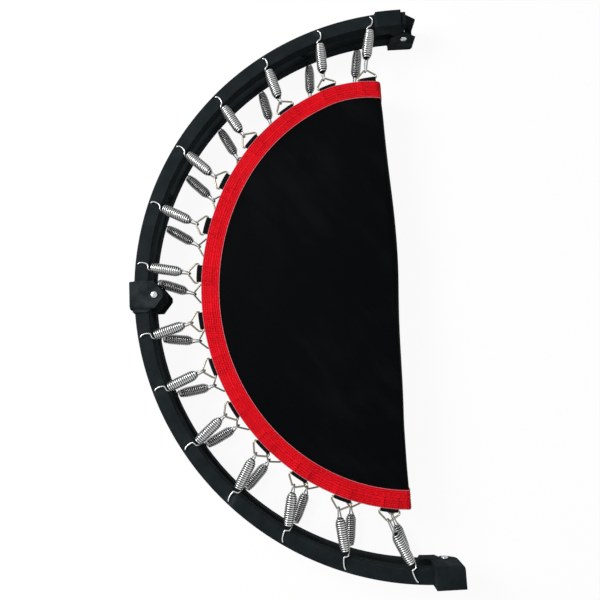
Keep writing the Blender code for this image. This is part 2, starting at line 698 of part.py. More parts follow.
def build_half(name, materials, bodies):
    """All the pieces of one half."""
    side = SIDES[name]
    steel, bright, red, cloth = materials
    frame, mat_body, edge_body = bodies
    outer_at_mid = "upper" if side > 0 else "lower"
    outer_at_fold = "lower" if side > 0 else "upper"
    for label, quarter in QUARTERS.items():
        stem = f"{name}_{label}"
        tube_piece(f"{stem}_tube", side, quarter, steel, frame)
        for spot, mid, holder in (("mid", True, outer_at_mid), ("fold", False, outer_at_fold)):
            if label == holder:
                outer_bracket(f"{stem}_{spot}_outer_bracket", side, quarter, mid, steel, frame)
                names = (f"{stem}_{spot}_bolt", f"{stem}_{spot}_nut")
                bolt_and_nut(names, side, quarter, mid, bright, frame)
            else:
                inner_bracket(f"{stem}_{spot}_inner_bracket", side, quarter, mid, steel, frame)

    tightest = []
    for k in range(SPRINGS_PER_HALF):
        path = wound_path(side, k) if side > 0 else plain_path(side, k)
        tightest.append(least_gap(path, WIRE_RADIUS))
        spring_object(f"{name}_spring_{k + 1:02d}", path, bright, frame)
    if side > 0:
        print("least gap between a spring's turns in mm:", round(1000 * min(tightest), 2))
    mat_panel(f"{name}_mat", side, cloth, mat_body)
    band(f"{name}_edge_band", side, red, mat_body)

    inset_x, inset_y = MAT_HALF_X - MAT_EDGE_INSET, MAT_HALF_Y - MAT_EDGE_INSET
    half_mat = inset_y * math.sqrt(1 - ((FOLD_TURN_X - MAT_CENTRE_X) / inset_x) ** 2)
    half_rim = MAT_HALF_Y * math.sqrt(1 - ((FOLD_TURN_X - MAT_CENTRE_X) / MAT_HALF_X) ** 2)
    half = MAT_THICKNESS / 2
    fold_strip(f"{name}_mat_fold", side, STRIP_HINGE_CLEARANCE, -half, half, [(-half_mat, half_mat)], cloth,
               edge_body)
    for label, quarter in QUARTERS.items():
        span = sorted((quarter * (half_rim - BAND_WIDTH), quarter * half_rim))
        fold_strip(f"{name}_{label}_band_end", side, TIP_HINGE_CLEARANCE, half + GAP, half + GAP + BAND_THICKNESS,
                   [span], red, edge_body)


def main():
    clear_scene()
    materials = (material("powder_coated_steel", (0.016, 0.018, 0.020), 0.42, 0.0),
                 material("zinc_plated_steel", (0.62, 0.62, 0.60), 0.30, 1.0),
                 material("red_webbing", (0.62, 0.010, 0.022), 0.65, 0.0),
                 material("woven_mat", (0.010, 0.010, 0.011), 0.60, 0.0))
    hinge = pivot("half_fold_pivot", (CENTRE_X + FOLD_X, 0, FOLD_Z))
    for name, side in SIDES.items():
        frame = hinge if side > 0 else None
        level = height(side, -MAT_DEPTH)
        slide = pivot(f"{name}_mat_pivot", (CENTRE_X + FOLD_TURN_X, 0, level), frame)
        turn = pivot(f"{name}_edge_pivot", (CENTRE_X + FOLD_TURN_X, 0, level), slide)
        build_half(name, materials, (frame, slide, turn))


main()
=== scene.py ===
"""Looks of the folding mini trampoline.

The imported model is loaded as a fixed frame. Each operator below makes one group of pieces over it:
tubes, hinge brackets, pivot bolts, springs, rings with their loops, mat, edge webbing and the stage.
All lengths are in metres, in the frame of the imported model.
"""

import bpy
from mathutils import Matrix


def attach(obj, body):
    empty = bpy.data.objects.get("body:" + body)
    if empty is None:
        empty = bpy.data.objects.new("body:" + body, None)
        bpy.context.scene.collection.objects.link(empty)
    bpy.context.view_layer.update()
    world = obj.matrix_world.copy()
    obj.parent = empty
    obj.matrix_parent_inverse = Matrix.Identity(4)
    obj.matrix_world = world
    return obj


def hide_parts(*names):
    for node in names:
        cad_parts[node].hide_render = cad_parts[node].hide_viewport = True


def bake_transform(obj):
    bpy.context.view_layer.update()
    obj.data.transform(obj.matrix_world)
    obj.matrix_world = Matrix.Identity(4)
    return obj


bl_info = {
    "name": "Folding Mini Trampoline",
    "version": (1, 0, 0),
    "blender": (4, 5, 0),
    "location": "View3D > Sidebar > Trampoline",
    "description": "Finished tubes, hinges, springs, mat and webbing for a folding mini trampoline",
    "category": "Add Mesh",
}

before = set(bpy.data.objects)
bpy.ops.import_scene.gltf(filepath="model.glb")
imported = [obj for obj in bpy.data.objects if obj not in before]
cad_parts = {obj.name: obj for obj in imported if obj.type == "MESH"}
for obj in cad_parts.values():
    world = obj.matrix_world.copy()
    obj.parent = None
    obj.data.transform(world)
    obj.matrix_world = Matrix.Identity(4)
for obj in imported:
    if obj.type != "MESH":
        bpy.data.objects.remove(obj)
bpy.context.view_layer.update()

import math
import random

import bmesh
import bpy
from bpy.props import FloatProperty, FloatVectorProperty, IntProperty, PointerProperty
from mathutils import Matrix, Vector, noise

# Ring of square tube
RING_RADIUS = 0.508
TUBE = 0.025
TUBE_WALL = 0.0015
TUBE_END_CLEARANCE = 0.0005
TUBE_CENTRE_RADIUS = RING_RADIUS - TUBE / 2
FOLD_X = 0.006
PIVOT_DEPTH = 0.037
GAP = 0.0003
STUD_TURNS = (22.5, 67.5)

# Hinge brackets with their bolts and welds
SHEET = 0.003
WEB_STAND = 2 * (GAP + SHEET)
INNER_HALF_IN = TUBE / 2 + 0.0005
INNER_HALF_OUT = INNER_HALF_IN + SHEET
OUTER_HALF_IN = INNER_HALF_OUT + 0.0008
OUTER_HALF_OUT = OUTER_HALF_IN + SHEET
OUTER_HALF_LENGTH = 0.025
OUTER_SIDE_DEPTH = 0.0313
OUTER_EAR_REACH = 0.0147
OUTER_EAR_HALF_TIP = 0.004
INNER_START = 0.008
INNER_EAR_RADIUS = 0.011
INNER_REACH_MID = 0.029
INNER_REACH_FOLD = 0.057
HOLE_TO_BRACKET = 0.008
BOLT_HOLE_RADIUS = 0.0033
HEAD_HEIGHT = 0.0032
HEAD_RADIUS = 0.006
NUT_HEIGHT = 0.0036
NUT_RADIUS = 0.0058
SHANK_RADIUS = 0.003
SOCKET_RADIUS = 0.0019
SOCKET_DEPTH = 0.0020
WELD_RADIUS = 0.00125
WELD_RIPPLE = 0.00022
WELD_WANDER = 0.0002
WELD_END_RADIUS = 0.0005
WELD_STEP = 0.0005
WELD_STAND = 0.0006
WELD_PAST_EDGE = 0.0004

# Springs, and the places of hooks, rings, loops and the mat
HOLE_INSET = 0.005
HOLE_CIRCLE = RING_RADIUS - HOLE_INSET
SPRINGS_PER_HALF = 14
SPRING_SIDES = 12
SPRING_STEPS = 16
HOOK_SHARE = 0.84
# Painted shade on the springs: the underside and the sides of each turn are painted darker where shade falls,
# and the bent eye is made darker all over
UNDERSIDE_SHADE = 0.34
EYE_DARKENING = 0.55
UNDERSIDE_SHADE_FACING = (0.0, 0.72)
TURN_SHADE_LEAN = (0.36, 0.96)
WIRE_CLEARANCE = 0.0003
COIL_CLEARANCE = 0.0004
COIL_ASIDE = 0.0020
COIL_ASIDE_FALL = 0.0050
COIL_ASIDE_TURNS = (145, 190)
COIL_DROP = 0.0015
COIL_DROP_MORE = 0.0035
BARREL_OPENING = 0.34
BARREL_CLOSING = 0.20
HOOK_BULGE = 0.0040
HOOK_BULGE_SWING = 0.0016
HOLE_TURN = {1: 0.0, -1: 1.86}
LATE_HOLES = {1: {0: 0.6, 1: -0.7, 2: -0.5, 3: -0.4, 7: 1.9, 13: 1.0}, -1: {1: -1.2, 2: -1.1, 3: -0.7}}
RING_TURN = {1: -0.35, -1: 3.6}
RING_CROWD = 1.6
RING_CROWD_PLACE = 167
MAT_CENTRE_X = -0.034
MAT_HALF_X = HOLE_CIRCLE - 0.110 + MAT_CENTRE_X
MAT_HALF_Y = HOLE_CIRCLE - 0.117
MAT_DEPTH = 0.005
FOLD_TURN_X = -0.0545
FOLD_REACH = 0.0105
FOLD_HEIGHT = PIVOT_DEPTH - MAT_DEPTH
RING_WIDTH = 0.036
RING_BASE_OFFSET = 0.0035
RING_APEX_OFFSET = 0.0204
LOOP_WIDTH = 0.031
LOOP_LEG = 0.018
LOOP_THICKNESS = 0.0009
LOOP_COLUMNS = 8
LOOP_DRIFT = 0.0006
LOOP_NARROWING = 0.96
LOOP_PINCH = 0.12
LOOP_RING_GAP = 0.0010

# Slack of the mat, its rim and its fold, and the webbing on it
CLOTH_THICKNESS = 0.0009
MAT_UNDER_BAND = 0.002
WAVE_RISE = (0.030, 0.075)
WAVE_END_SHARE = 1.1
FOLD_TURN_GAP = 0.001
FOLD_SWELL = 0.0070
FOLD_SWELL_PLACE = 0.06
FOLD_SWELL_ABOVE = 0.165
FOLD_SWELL_BELOW = 0.115
FOLD_DRAW = 0.0045
FOLD_DRAW_REACH = 0.30
FOLD_LAP = 0.0030
FOLD_LAP_STEP = 0.0006
RIM_SLACK = 0.0038
RIM_SLACK_PLACE = 163
CORNER_SLACK = 0.0110
CORNER_SLACK_FROM = 93.3
CORNER_SLACK_TO = 109.0
CORNER_SLACK_POWER = 1.7
RING_SLACK_SHARE = 0.8
RIM_SLACK_REACH = 28
RIM_HALVINGS = 30
RIM_MEAN_RADIUS = 0.37
BAND_THICKNESS = 0.0011
BAND_GAP = 0.0006
BAND_RISE = 0.0013
BAND_WRINKLE = 0.00022
BAND_OVERHANG = 0.0004
BAND_BENDS = 10
BAND_SHARES = (0, 0.012, 0.05, 0.16, 0.30, 0.44, 0.58, 0.72, 0.86, 0.95, 0.988, 1)
STITCH_ROWS = (0.08, 0.19, 0.30, 0.42, 0.58, 0.70, 0.81, 0.92)
STITCH_LEVELS = ((-0.5, (-0.0003, 0.0001)), (0.0, (0.00045,)), (0.5, (0.0001, -0.0003)))
SEAM_PLACE = 0.034
SEAM_HALF_GAP = 0.0016

# The whole, and the floor under it
FOLD_Z = 0.0478
FLOOR_REACH = 15.0
FLOOR_DROP = 0.0005
FLOOR_WHITENESS = 0.93
CENTRE_X = (RING_RADIUS + WEB_STAND - FOLD_X - OUTER_HALF_LENGTH) / 2

SIDES = {"front": 1, "rear": -1}
QUARTERS = {"upper": 1, "lower": -1}


def height(side, h):
    """World height of a level h above a half's jumping-side face, outward positive."""
    return FOLD_Z + side * (PIVOT_DEPTH + h)


def nominal_turn(k):
    """Angle of place k of a half's fourteen, in degrees from +X."""
    return 90 + 180 * (k + 0.5) / SPRINGS_PER_HALF


def hook_hole(side, k):
    """Place of hook hole k from the ring's centre."""
    turn = math.radians(nominal_turn(k) + HOLE_TURN[side] + LATE_HOLES[side].get(k, 0.0))
    return Vector((HOLE_CIRCLE * math.cos(turn), HOLE_CIRCLE * math.sin(turn)))


def rim_spot(turn):
    """Place on the mat's rim at an angle of its ellipse, with the rim's outward direction."""
    place = Vector((MAT_CENTRE_X + MAT_HALF_X * math.cos(turn), MAT_HALF_Y * math.sin(turn)))
    out = Vector((math.cos(turn) / MAT_HALF_X, math.sin(turn) / MAT_HALF_Y)).normalized()
    return place, out


def ring_turn(side, k):
    """Angle of the mat's ellipse at ring k, moved back where its loop would reach the fold."""
    crowd = RING_CROWD * math.cos(2 * math.radians(nominal_turn(k) - RING_CROWD_PLACE))
    turn = math.radians(nominal_turn(k) + RING_TURN[side] + crowd)
    step = math.radians(0.1) * (1 if turn < math.pi else -1)
    while True:
        place, out = rim_spot(turn)
        if place.x - LOOP_LEG * out.x + LOOP_WIDTH / 2 * abs(out.y) <= FOLD_TURN_X - FOLD_TURN_GAP:
            return turn
        turn += step


def corner_slack(turn):
    """How far the slack rim drops inside its ellipse toward the fold's upper end."""
    share = (CORNER_SLACK_TO - math.degrees(turn)) / (CORNER_SLACK_TO - CORNER_SLACK_FROM)
    return CORNER_SLACK * min(1.0, max(0.0, share)) ** CORNER_SLACK_POWER


def ring_spot(side, k):
    """Place on the rim where ring k hangs, with the rim's outward direction."""
    turn = ring_turn(side, k)
    place, out = rim_spot(turn)
    return place - RING_SLACK_SHARE * corner_slack(turn) * out, out


def rim_frame(side, k):
    """Map (outward from the rim, along the rim, above the mat) at ring k to the world."""
    place, out = ring_spot(side, k)
    return lambda a, b, c: Vector((CENTRE_X + place.x + a * out.x - b * out.y,
                                   place.y + a * out.y + b * out.x, height(side, c - MAT_DEPTH)))


def spring_frame(side, k):
    """Map (along the spring, sideways, above the tube's face) to the world, with two lengths.

    The first length is where the spring crosses the tube's inner edge, the second where the ring's
    wire lies.
    """
    hole = hook_hole(side, k)
    place, out = ring_spot(side, k)
    line = place + RING_APEX_OFFSET * out - hole
    length = line.length
    line.normalize()
    edge = (TUBE - HOLE_INSET) / -line.dot(hole.normalized())
    return (lambda a, s, h: Vector((CENTRE_X + hole.x + a * line.x - s * line.y,
                                    hole.y + a * line.y + s * line.x, height(side, h)))), edge, length


def hinge_frame(side, quarter, mid):
    """Map (u, v, w) at a hinge to the world.

    u runs along the tube away from the given quarter, v from the tube's far face toward the pin,
    and w along the pin toward the bolt's head.
    """
    if mid:
        origin = Vector((CENTRE_X - RING_RADIUS, 0, height(side, -TUBE / 2)))
        along, depth, pin = Vector((0, -quarter, 0)), Vector((1, 0, 0)), Vector((0, 0, side))
    else:
        origin = Vector((CENTRE_X + FOLD_X, quarter * TUBE_CENTRE_RADIUS, height(side, 0)))
        along, depth, pin = Vector((1, 0, 0)), Vector((0, 0, -side)), Vector((0, -quarter, 0))
    return lambda u, v, w: origin + u * along + v * depth + w * pin


def smooth_step(low, high, value):
    """0 below low, 1 above high, and a smooth rise between them."""
    share = min(1.0, max(0.0, (value - low) / (high - low)))
    return share * share * (3 - 2 * share)


def rounded(outline, radii, steps=6):
    """A polygon's points with each corner turned into an arc of its radius."""
    points = []
    count = len(outline)
    for i, corner in enumerate(outline):
        spot = Vector(corner)
        before = Vector(outline[i - 1]) - spot
        after = Vector(outline[(i + 1) % count]) - spot
        half = before.angle(after) / 2
        radius = radii[i] if isinstance(radii, (list, tuple)) else radii
        if radius <= 0 or half > math.pi / 2 - 0.01:
            points.append(tuple(spot))
            continue
        reach = min(radius / math.tan(half), before.length * 0.49, after.length * 0.49)
        start, end = spot + before.normalized() * reach, spot + after.normalized() * reach
        for step in range(steps + 1):
            t = step / steps
            points.append(tuple(start * (1 - t) ** 2 + spot * 2 * t * (1 - t) + end * t ** 2))
    return points


# Making meshes


def new_piece(name, bm, materials, angle=40):
    """Finish a bmesh as an object with its faces outward and smooth across shallow edges."""
    bmesh.ops.recalc_face_normals(bm, faces=bm.faces)
    mesh = bpy.data.meshes.new(name)
    bm.to_mesh(mesh)
    bm.free()
    mesh.shade_smooth()
    mesh.set_sharp_from_angle(angle=math.radians(angle))
    for material in materials:
        mesh.materials.append(material)
    piece = bpy.data.objects.new(name, mesh)
    bpy.context.scene.collection.objects.link(piece)
    return piece


def even_normals(piece):
    """Keep large flat faces flat beside their rounded edges."""
    modifier = piece.modifiers.new("even_normals", "WEIGHTED_NORMAL")
    modifier.keep_sharp = True
    modifier.weight = 80


def settle_modifiers(piece):
    """Turn what a piece's modifiers make into its own mesh."""
    graph = bpy.context.evaluated_depsgraph_get()
    shaped = bpy.data.meshes.new_from_object(piece.evaluated_get(graph))
    piece.modifiers.clear()
    old = piece.data
    piece.data = shaped
    bpy.data.meshes.remove(old)


def shape_with(piece, helper, operation):
    """Cut piece with a helper, join it or keep what both share, and remove the helper."""
    step = piece.modifiers.new("shape", "BOOLEAN")
    step.operation = operation
    step.solver = "EXACT"
    step.object = helper
    settle_modifiers(piece)
    bpy.data.objects.remove(helper, do_unlink=True)
    piece.data.shade_smooth()
    piece.data.set_sharp_from_angle(angle=math.radians(40))


def skin(bm, rings, closed=False, caps=True, slot=0):
    """Join rings of points with faces, and close the two ends."""
    made = [[bm.verts.new(point) for point in ring] for ring in rings]
    count = len(made[0])
    pairs = list(zip(made, made[1:])) + ([(made[-1], made[0])] if closed else [])
    for low, high in pairs:
        for i in range(count):
            j = (i + 1) % count
            bm.faces.new((low[i], low[j], high[j], high[i])).material_index = slot
    if caps and not closed:
        bm.faces.new(made[0]).material_index = slot
        bm.faces.new(made[-1][::-1]).material_index = slot
    return made


def prism(bm, outline, place, start, end):
    """Add a straight prism: place(a, b, c) maps the outline's a, b and the length's c."""
    return skin(bm, [[place(a, b, c) for a, b in outline] for c in (start, end)])


def lathe(bm, profile, place, segments, slot=0):
    """Turn a profile of (radius, along) points; place(a, b, c) maps across, across, along."""
    rings = []
    for radius, along in profile:
        if radius == 0:
            rings.append([bm.verts.new(place(0, 0, along))])
            continue
        turns = [2 * math.pi * i / segments for i in range(segments)]
        rings.append([bm.verts.new(place(radius * math.cos(t), radius * math.sin(t), along)) for t in turns])
    for low, high in zip(rings, rings[1:]):
        for i in range(segments):
            j = i + 1
            corners = [low[i % len(low)], low[j % len(low)], high[j % len(high)], high[i % len(high)]]
            bm.faces.new(list(dict.fromkeys(corners))).material_index = slot


def cloth_faces(bm, cloth, grid, flat):
    """Join a grid of points with faces, and lay each corner where it is on the flat cloth."""
    for i in range(len(grid) - 1):
        for j in range(len(grid[0]) - 1):
            corners = ((i, j), (i, j + 1), (i + 1, j + 1), (i + 1, j))
            face = bm.faces.new([grid[m][n] for m, n in corners])
            for corner, (m, n) in zip(face.loops, corners):
                corner[cloth].uv = flat[m][n]


def wire(bm, points, radius, sides, closed=False, slot=0):
    """Add a round wire along points, carried without twist. radius may be a list."""
    spots = [Vector(point) for point in points]
    count = len(spots)
    tangents = []
    for i in range(count):
        before = spots[i - 1] if closed or i > 0 else spots[i]
        after = spots[(i + 1) % count] if closed or i < count - 1 else spots[i]
        tangents.append((after - before).normalized())
    across = tangents[0].orthogonal().normalized()
    frames = []
    for i, tangent in enumerate(tangents):
        if i:
            across = tangents[i - 1].rotation_difference(tangent) @ across
        frames.append(across.copy())
    if closed:
        last = tangents[-1].rotation_difference(tangents[0]) @ frames[-1]
        twist = math.atan2(tangents[0].dot(last.cross(frames[0])), last.dot(frames[0]))
        for i, tangent in enumerate(tangents):
            frames[i] = Matrix.Rotation(twist * i / count, 3, tangent) @ frames[i]
    rings = []
    for i, (spot, tangent, side) in enumerate(zip(spots, tangents, frames)):
        up = tangent.cross(side)
        thick = radius[i] if isinstance(radius, list) else radius
        turns = [2 * math.pi * j / sides for j in range(sides)]
        rings.append([spot + thick * (side * math.cos(t) + up * math.sin(t)) for t in turns])
    skin(bm, rings, closed=closed, slot=slot)


# Materials


def add_node(tree, kind, **values):
    """Add a node and set what it needs."""
    made = tree.nodes.new(kind)
    for name, value in values.items():
        setattr(made, name, value)
    return made


def feed(tree, socket, value):
    """Feed a socket from another socket, or set it."""
    if isinstance(value, bpy.types.NodeSocket):
        tree.links.new(value, socket)
    elif isinstance(value, tuple) and len(value) == 3 and socket.type == "RGBA":
        socket.default_value = (*value, 1.0)
    else:
        socket.default_value = value


def calculate(tree, operation, *values, clamp=False):
    """A Math node's output."""
    made = add_node(tree, "ShaderNodeMath", operation=operation, use_clamp=clamp)
    for socket, value in zip(made.inputs, values):
        feed(tree, socket, value)
    return made.outputs[0]


def blend_colours(tree, share, low, high, method="MIX"):
    """A colour mix's output."""
    made = add_node(tree, "ShaderNodeMix", data_type="RGBA", blend_type=method)
    feed(tree, made.inputs["Factor"], share)
    feed(tree, made.inputs["A"], low)
    feed(tree, made.inputs["B"], high)
    return made.outputs["Result"]


def spread(tree, value, low, high, to_low=0.0, to_high=1.0):
    """A Map Range node's output."""
    made = add_node(tree, "ShaderNodeMapRange")
    for name, number in (("From Min", low), ("From Max", high), ("To Min", to_low), ("To Max", to_high)):
        made.inputs[name].default_value = number
    feed(tree, made.inputs["Value"], value)
    return made.outputs["Result"]


def noise_value(tree, scale, detail=3.0, roughness=0.5, stretch=(1.0, 1.0, 1.0), turn=0.0):
    """A noise over the object's own place, drawn out along axes that are turned about Z."""
    mapping = add_node(tree, "ShaderNodeMapping", vector_type="TEXTURE")
    mapping.inputs["Scale"].default_value = stretch
    mapping.inputs["Rotation"].default_value = (0.0, 0.0, math.radians(turn))
    tree.links.new(add_node(tree, "ShaderNodeTexCoord").outputs["Object"], mapping.inputs["Vector"])
    place = mapping.outputs["Vector"]
    made = add_node(tree, "ShaderNodeTexNoise")
    tree.links.new(place, made.inputs["Vector"])
    feed(tree, made.inputs["Scale"], scale)
    made.inputs["Detail"].default_value = detail
    made.inputs["Roughness"].default_value = roughness
    return made.outputs["Fac"]


def start_group(name, inputs, outputs):
    """A new node group with its named sockets, each (name, kind, default)."""
    group = bpy.data.node_groups.new(name, "ShaderNodeTree")
    for label, kind, default in inputs:
        socket = group.interface.new_socket(label, in_out="INPUT", socket_type=kind)
        socket.default_value = default
    for label, kind in outputs:
        group.interface.new_socket(label, in_out="OUTPUT", socket_type=kind)
    return group, add_node(group, "NodeGroupInput").outputs, add_node(group, "NodeGroupOutput").inputs


def surface_wear_group():
    """Worn edges and drifting dirt: where a coating rubs thin, and how its gloss varies."""
    group, given, out = start_group(
        "Surface Wear",
        [("Colour", "NodeSocketColor", (0.5, 0.5, 0.5, 1)),
         ("Worn Colour", "NodeSocketColor", (0.6, 0.6, 0.6, 1)),
         ("Wear", "NodeSocketFloat", 0.3), ("Patch Scale", "NodeSocketFloat", 30.0),
         ("Roughness", "NodeSocketFloat", 0.4), ("Roughness Spread", "NodeSocketFloat", 0.1)],
        [("Colour", "NodeSocketColor"), ("Roughness", "NodeSocketFloat")])
    edge = spread(group, add_node(group, "ShaderNodeNewGeometry").outputs["Pointiness"], 0.505, 0.56)
    patches = noise_value(group, given["Patch Scale"], 5.0, 0.6)
    rubbed = calculate(group, "MULTIPLY", edge, spread(group, patches, 0.42, 0.62), clamp=True)
    mask = calculate(group, "MULTIPLY", rubbed, given["Wear"], clamp=True)
    shade = spread(group, patches, 0.3, 0.7, 0.85, 1.15)
    varied = add_node(group, "ShaderNodeHueSaturation")
    feed(group, varied.inputs["Color"], given["Colour"])
    feed(group, varied.inputs["Value"], shade)
    feed(group, out["Colour"], blend_colours(group, mask, varied.outputs["Color"], given["Worn Colour"]))
    drift = calculate(group, "MULTIPLY", calculate(group, "SUBTRACT", patches, 0.5),
                      given["Roughness Spread"])
    feed(group, out["Roughness"], calculate(group, "ADD", given["Roughness"], drift, clamp=True))
    return group


def woven_thread_group():
    """A plain weave read from the mesh's own length and width, in threads to the metre."""
    group, given, out = start_group(
        "Woven Threads",
        [("Colour", "NodeSocketColor", (0.1, 0.1, 0.1, 1)),
         ("Gap Colour", "NodeSocketColor", (0.0, 0.0, 0.0, 1)),
         ("Threads Along", "NodeSocketFloat", 600.0), ("Threads Across", "NodeSocketFloat", 600.0),
         ("Fading", "NodeSocketFloat", 0.2), ("Patch Scale", "NodeSocketFloat", 12.0),
         ("Streaks", "NodeSocketFloat", 0.0), ("Streak Width", "NodeSocketFloat", 0.0020)],
        [("Colour", "NodeSocketColor"), ("Height", "NodeSocketFloat"), ("Patches", "NodeSocketFloat")])
    split = add_node(group, "ShaderNodeSeparateXYZ")
    group.links.new(add_node(group, "ShaderNodeUVMap", uv_map="Cloth").outputs["UV"], split.inputs["Vector"])
    along = calculate(group, "MULTIPLY", split.outputs["X"], given["Threads Along"])
    across = calculate(group, "MULTIPLY", split.outputs["Y"], given["Threads Across"])
    tiles = calculate(group, "ADD", calculate(group, "FLOOR", along), calculate(group, "FLOOR", across))
    over = calculate(group, "FLOORED_MODULO", tiles, 2.0)
    humps = [calculate(group, "SINE", calculate(group, "MULTIPLY", calculate(group, "FRACT", run), math.pi))
             for run in (along, across)]
    under = calculate(group, "SUBTRACT", 1.0, over)
    weave = calculate(group, "ADD", calculate(group, "MULTIPLY", humps[0], over),
                      calculate(group, "MULTIPLY", humps[1], under))
    patches = noise_value(group, given["Patch Scale"], 4.0, 0.6)
    threads = blend_colours(group, spread(group, weave, 0.1, 0.7), given["Gap Colour"], given["Colour"])
    faded = add_node(group, "ShaderNodeHueSaturation")
    feed(group, faded.inputs["Color"], threads)
    shift = calculate(group, "MULTIPLY", calculate(group, "SUBTRACT", patches, 0.5), given["Fading"])
    dash = add_node(group, "ShaderNodeCombineXYZ")
    wide = calculate(group, "DIVIDE", 1.0, given["Streak Width"])
    slow = calculate(group, "MULTIPLY", wide, 0.45)
    feed(group, dash.inputs["X"], calculate(group, "MULTIPLY", split.outputs["X"], slow))
    feed(group, dash.inputs["Y"], calculate(group, "MULTIPLY", split.outputs["Y"], wide))
    streaks = add_node(group, "ShaderNodeTexNoise")
    group.links.new(dash.outputs["Vector"], streaks.inputs["Vector"])
    streaks.inputs["Scale"].default_value = 1.0
    streaks.inputs["Detail"].default_value = 2.0
    streak = calculate(group, "SUBTRACT", streaks.outputs["Fac"], 0.5)
    uneven = calculate(group, "MULTIPLY", streak, given["Streaks"])
    feed(group, faded.inputs["Value"], calculate(group, "ADD", calculate(group, "ADD", 1.0, shift), uneven))
    feed(group, out["Colour"], faded.outputs["Color"])
    feed(group, out["Height"], weave)
    feed(group, out["Patches"], patches)
    return group


def place_group(tree, name, **values):
    """Place a node group in a material with its own values. Underscores stand for spaces."""
    made = add_node(tree, "ShaderNodeGroup", node_tree=bpy.data.node_groups[name])
    for label, value in values.items():
        feed(tree, made.inputs[label.replace("_", " ")], value)
    return made.outputs


def bump(tree, heights, strength, distance):
    """A Bump node's normal."""
    made = add_node(tree, "ShaderNodeBump")
    made.inputs["Strength"].default_value = strength
    made.inputs["Distance"].default_value = distance
    tree.links.new(heights, made.inputs["Height"])
    return made.outputs["Normal"]


def start_material(name, **values):
    """A Principled material with constants on its own sockets."""
    made = bpy.data.materials.new(name)
    made.use_nodes = True
    shader = made.node_tree.nodes["Principled BSDF"]
    for label, value in values.items():
        feed(made.node_tree, shader.inputs[label.replace("_", " ")], value)
    return made, made.node_tree, shader.inputs


def powder_coat(colour, roughness):
    """Satin black powder coat: a fine pebbled film, thinner and lighter on worn corners."""
    made, tree, shader = start_material("Powder Coat", Metallic=0.0, Specular_IOR_Level=0.02)
    look = place_group(tree, "Surface Wear", Colour=colour, Worn_Colour=(0.05, 0.055, 0.06), Wear=0.35,
                       Patch_Scale=38.0, Roughness=roughness, Roughness_Spread=0.16)
    feed(tree, shader["Base Color"], look["Colour"])
    feed(tree, shader["Roughness"], look["Roughness"])
    feed(tree, shader["Normal"], bump(tree, noise_value(tree, 900.0, 2.0), 0.16, 0.0006))
    return made


def zinc(name, colour, shade, roughness):
    """Bright plated wire: a cloudy zinc film and matt spots, with painted shade between a spring's turns and
    on its underside, and a darker eye.
    """
    made, tree, shader = start_material(name, Metallic=1.0)
    look = place_group(tree, "Surface Wear", Colour=colour, Worn_Colour=shade, Wear=0.5, Patch_Scale=160.0,
                       Roughness=roughness, Roughness_Spread=0.22)
    # Painted shade: a near-black colour mixed in by the spring's stored mask, between turns, underneath and
    # over the eye
    painted_shade = add_node(tree, "ShaderNodeAttribute", attribute_name="Painted Shade").outputs["Fac"]
    feed(tree, shader["Base Color"], blend_colours(tree, painted_shade, look["Colour"], (0.012, 0.012, 0.011)))
    feed(tree, shader["Roughness"], look["Roughness"])
    feed(tree, shader["Normal"], bump(tree, noise_value(tree, 1400.0, 2.0), 0.10, 0.0003))
    return made


def woven(name, colour, gap_colour, along, across, depth, roughness, fading, patches, streaks, painted_sheen, **more):
    """Cloth or webbing woven from flat threads, with painted sheen: pale slanting streaks mixed into its
    colour.
    """
    made, tree, shader = start_material(name, Metallic=0.0, **more)
    look = place_group(tree, "Woven Threads", Colour=colour, Gap_Colour=gap_colour, Threads_Along=along,
                       Threads_Across=across, Fading=fading, Patch_Scale=patches, Streaks=streaks)
    # Painted sheen: slanting streaks of pale grey blended into the cloth's colour
    film = calculate(tree, "MULTIPLY", noise_value(tree, 26.0, 6.0, 0.62, (3.4, 1.0, 1.0), -50.0),
                     noise_value(tree, 6.0, 2.0))
    feed(tree, shader["Base Color"], blend_colours(tree, spread(tree, film, 0.27, 0.42, 0.0, painted_sheen),
                                                   look["Colour"], (0.10, 0.11, 0.11)))
    feed(tree, shader["Roughness"], spread(tree, look["Patches"], 0.3, 0.7, roughness - 0.08,
                                           roughness + 0.08))
    feed(tree, shader["Normal"], bump(tree, look["Height"], 0.5, depth))
    return made


def thread(name, colour, dark):
    """Twisted sewing thread."""
    made, tree, shader = start_material(name, Metallic=0.0, Roughness=0.6, Specular_IOR_Level=0.06)
    twist = noise_value(tree, 700.0, 2.0)
    feed(tree, shader["Base Color"], blend_colours(tree, spread(tree, twist, 0.35, 0.65), dark, colour))
    feed(tree, shader["Normal"], bump(tree, twist, 0.4, 0.0003))
    return made


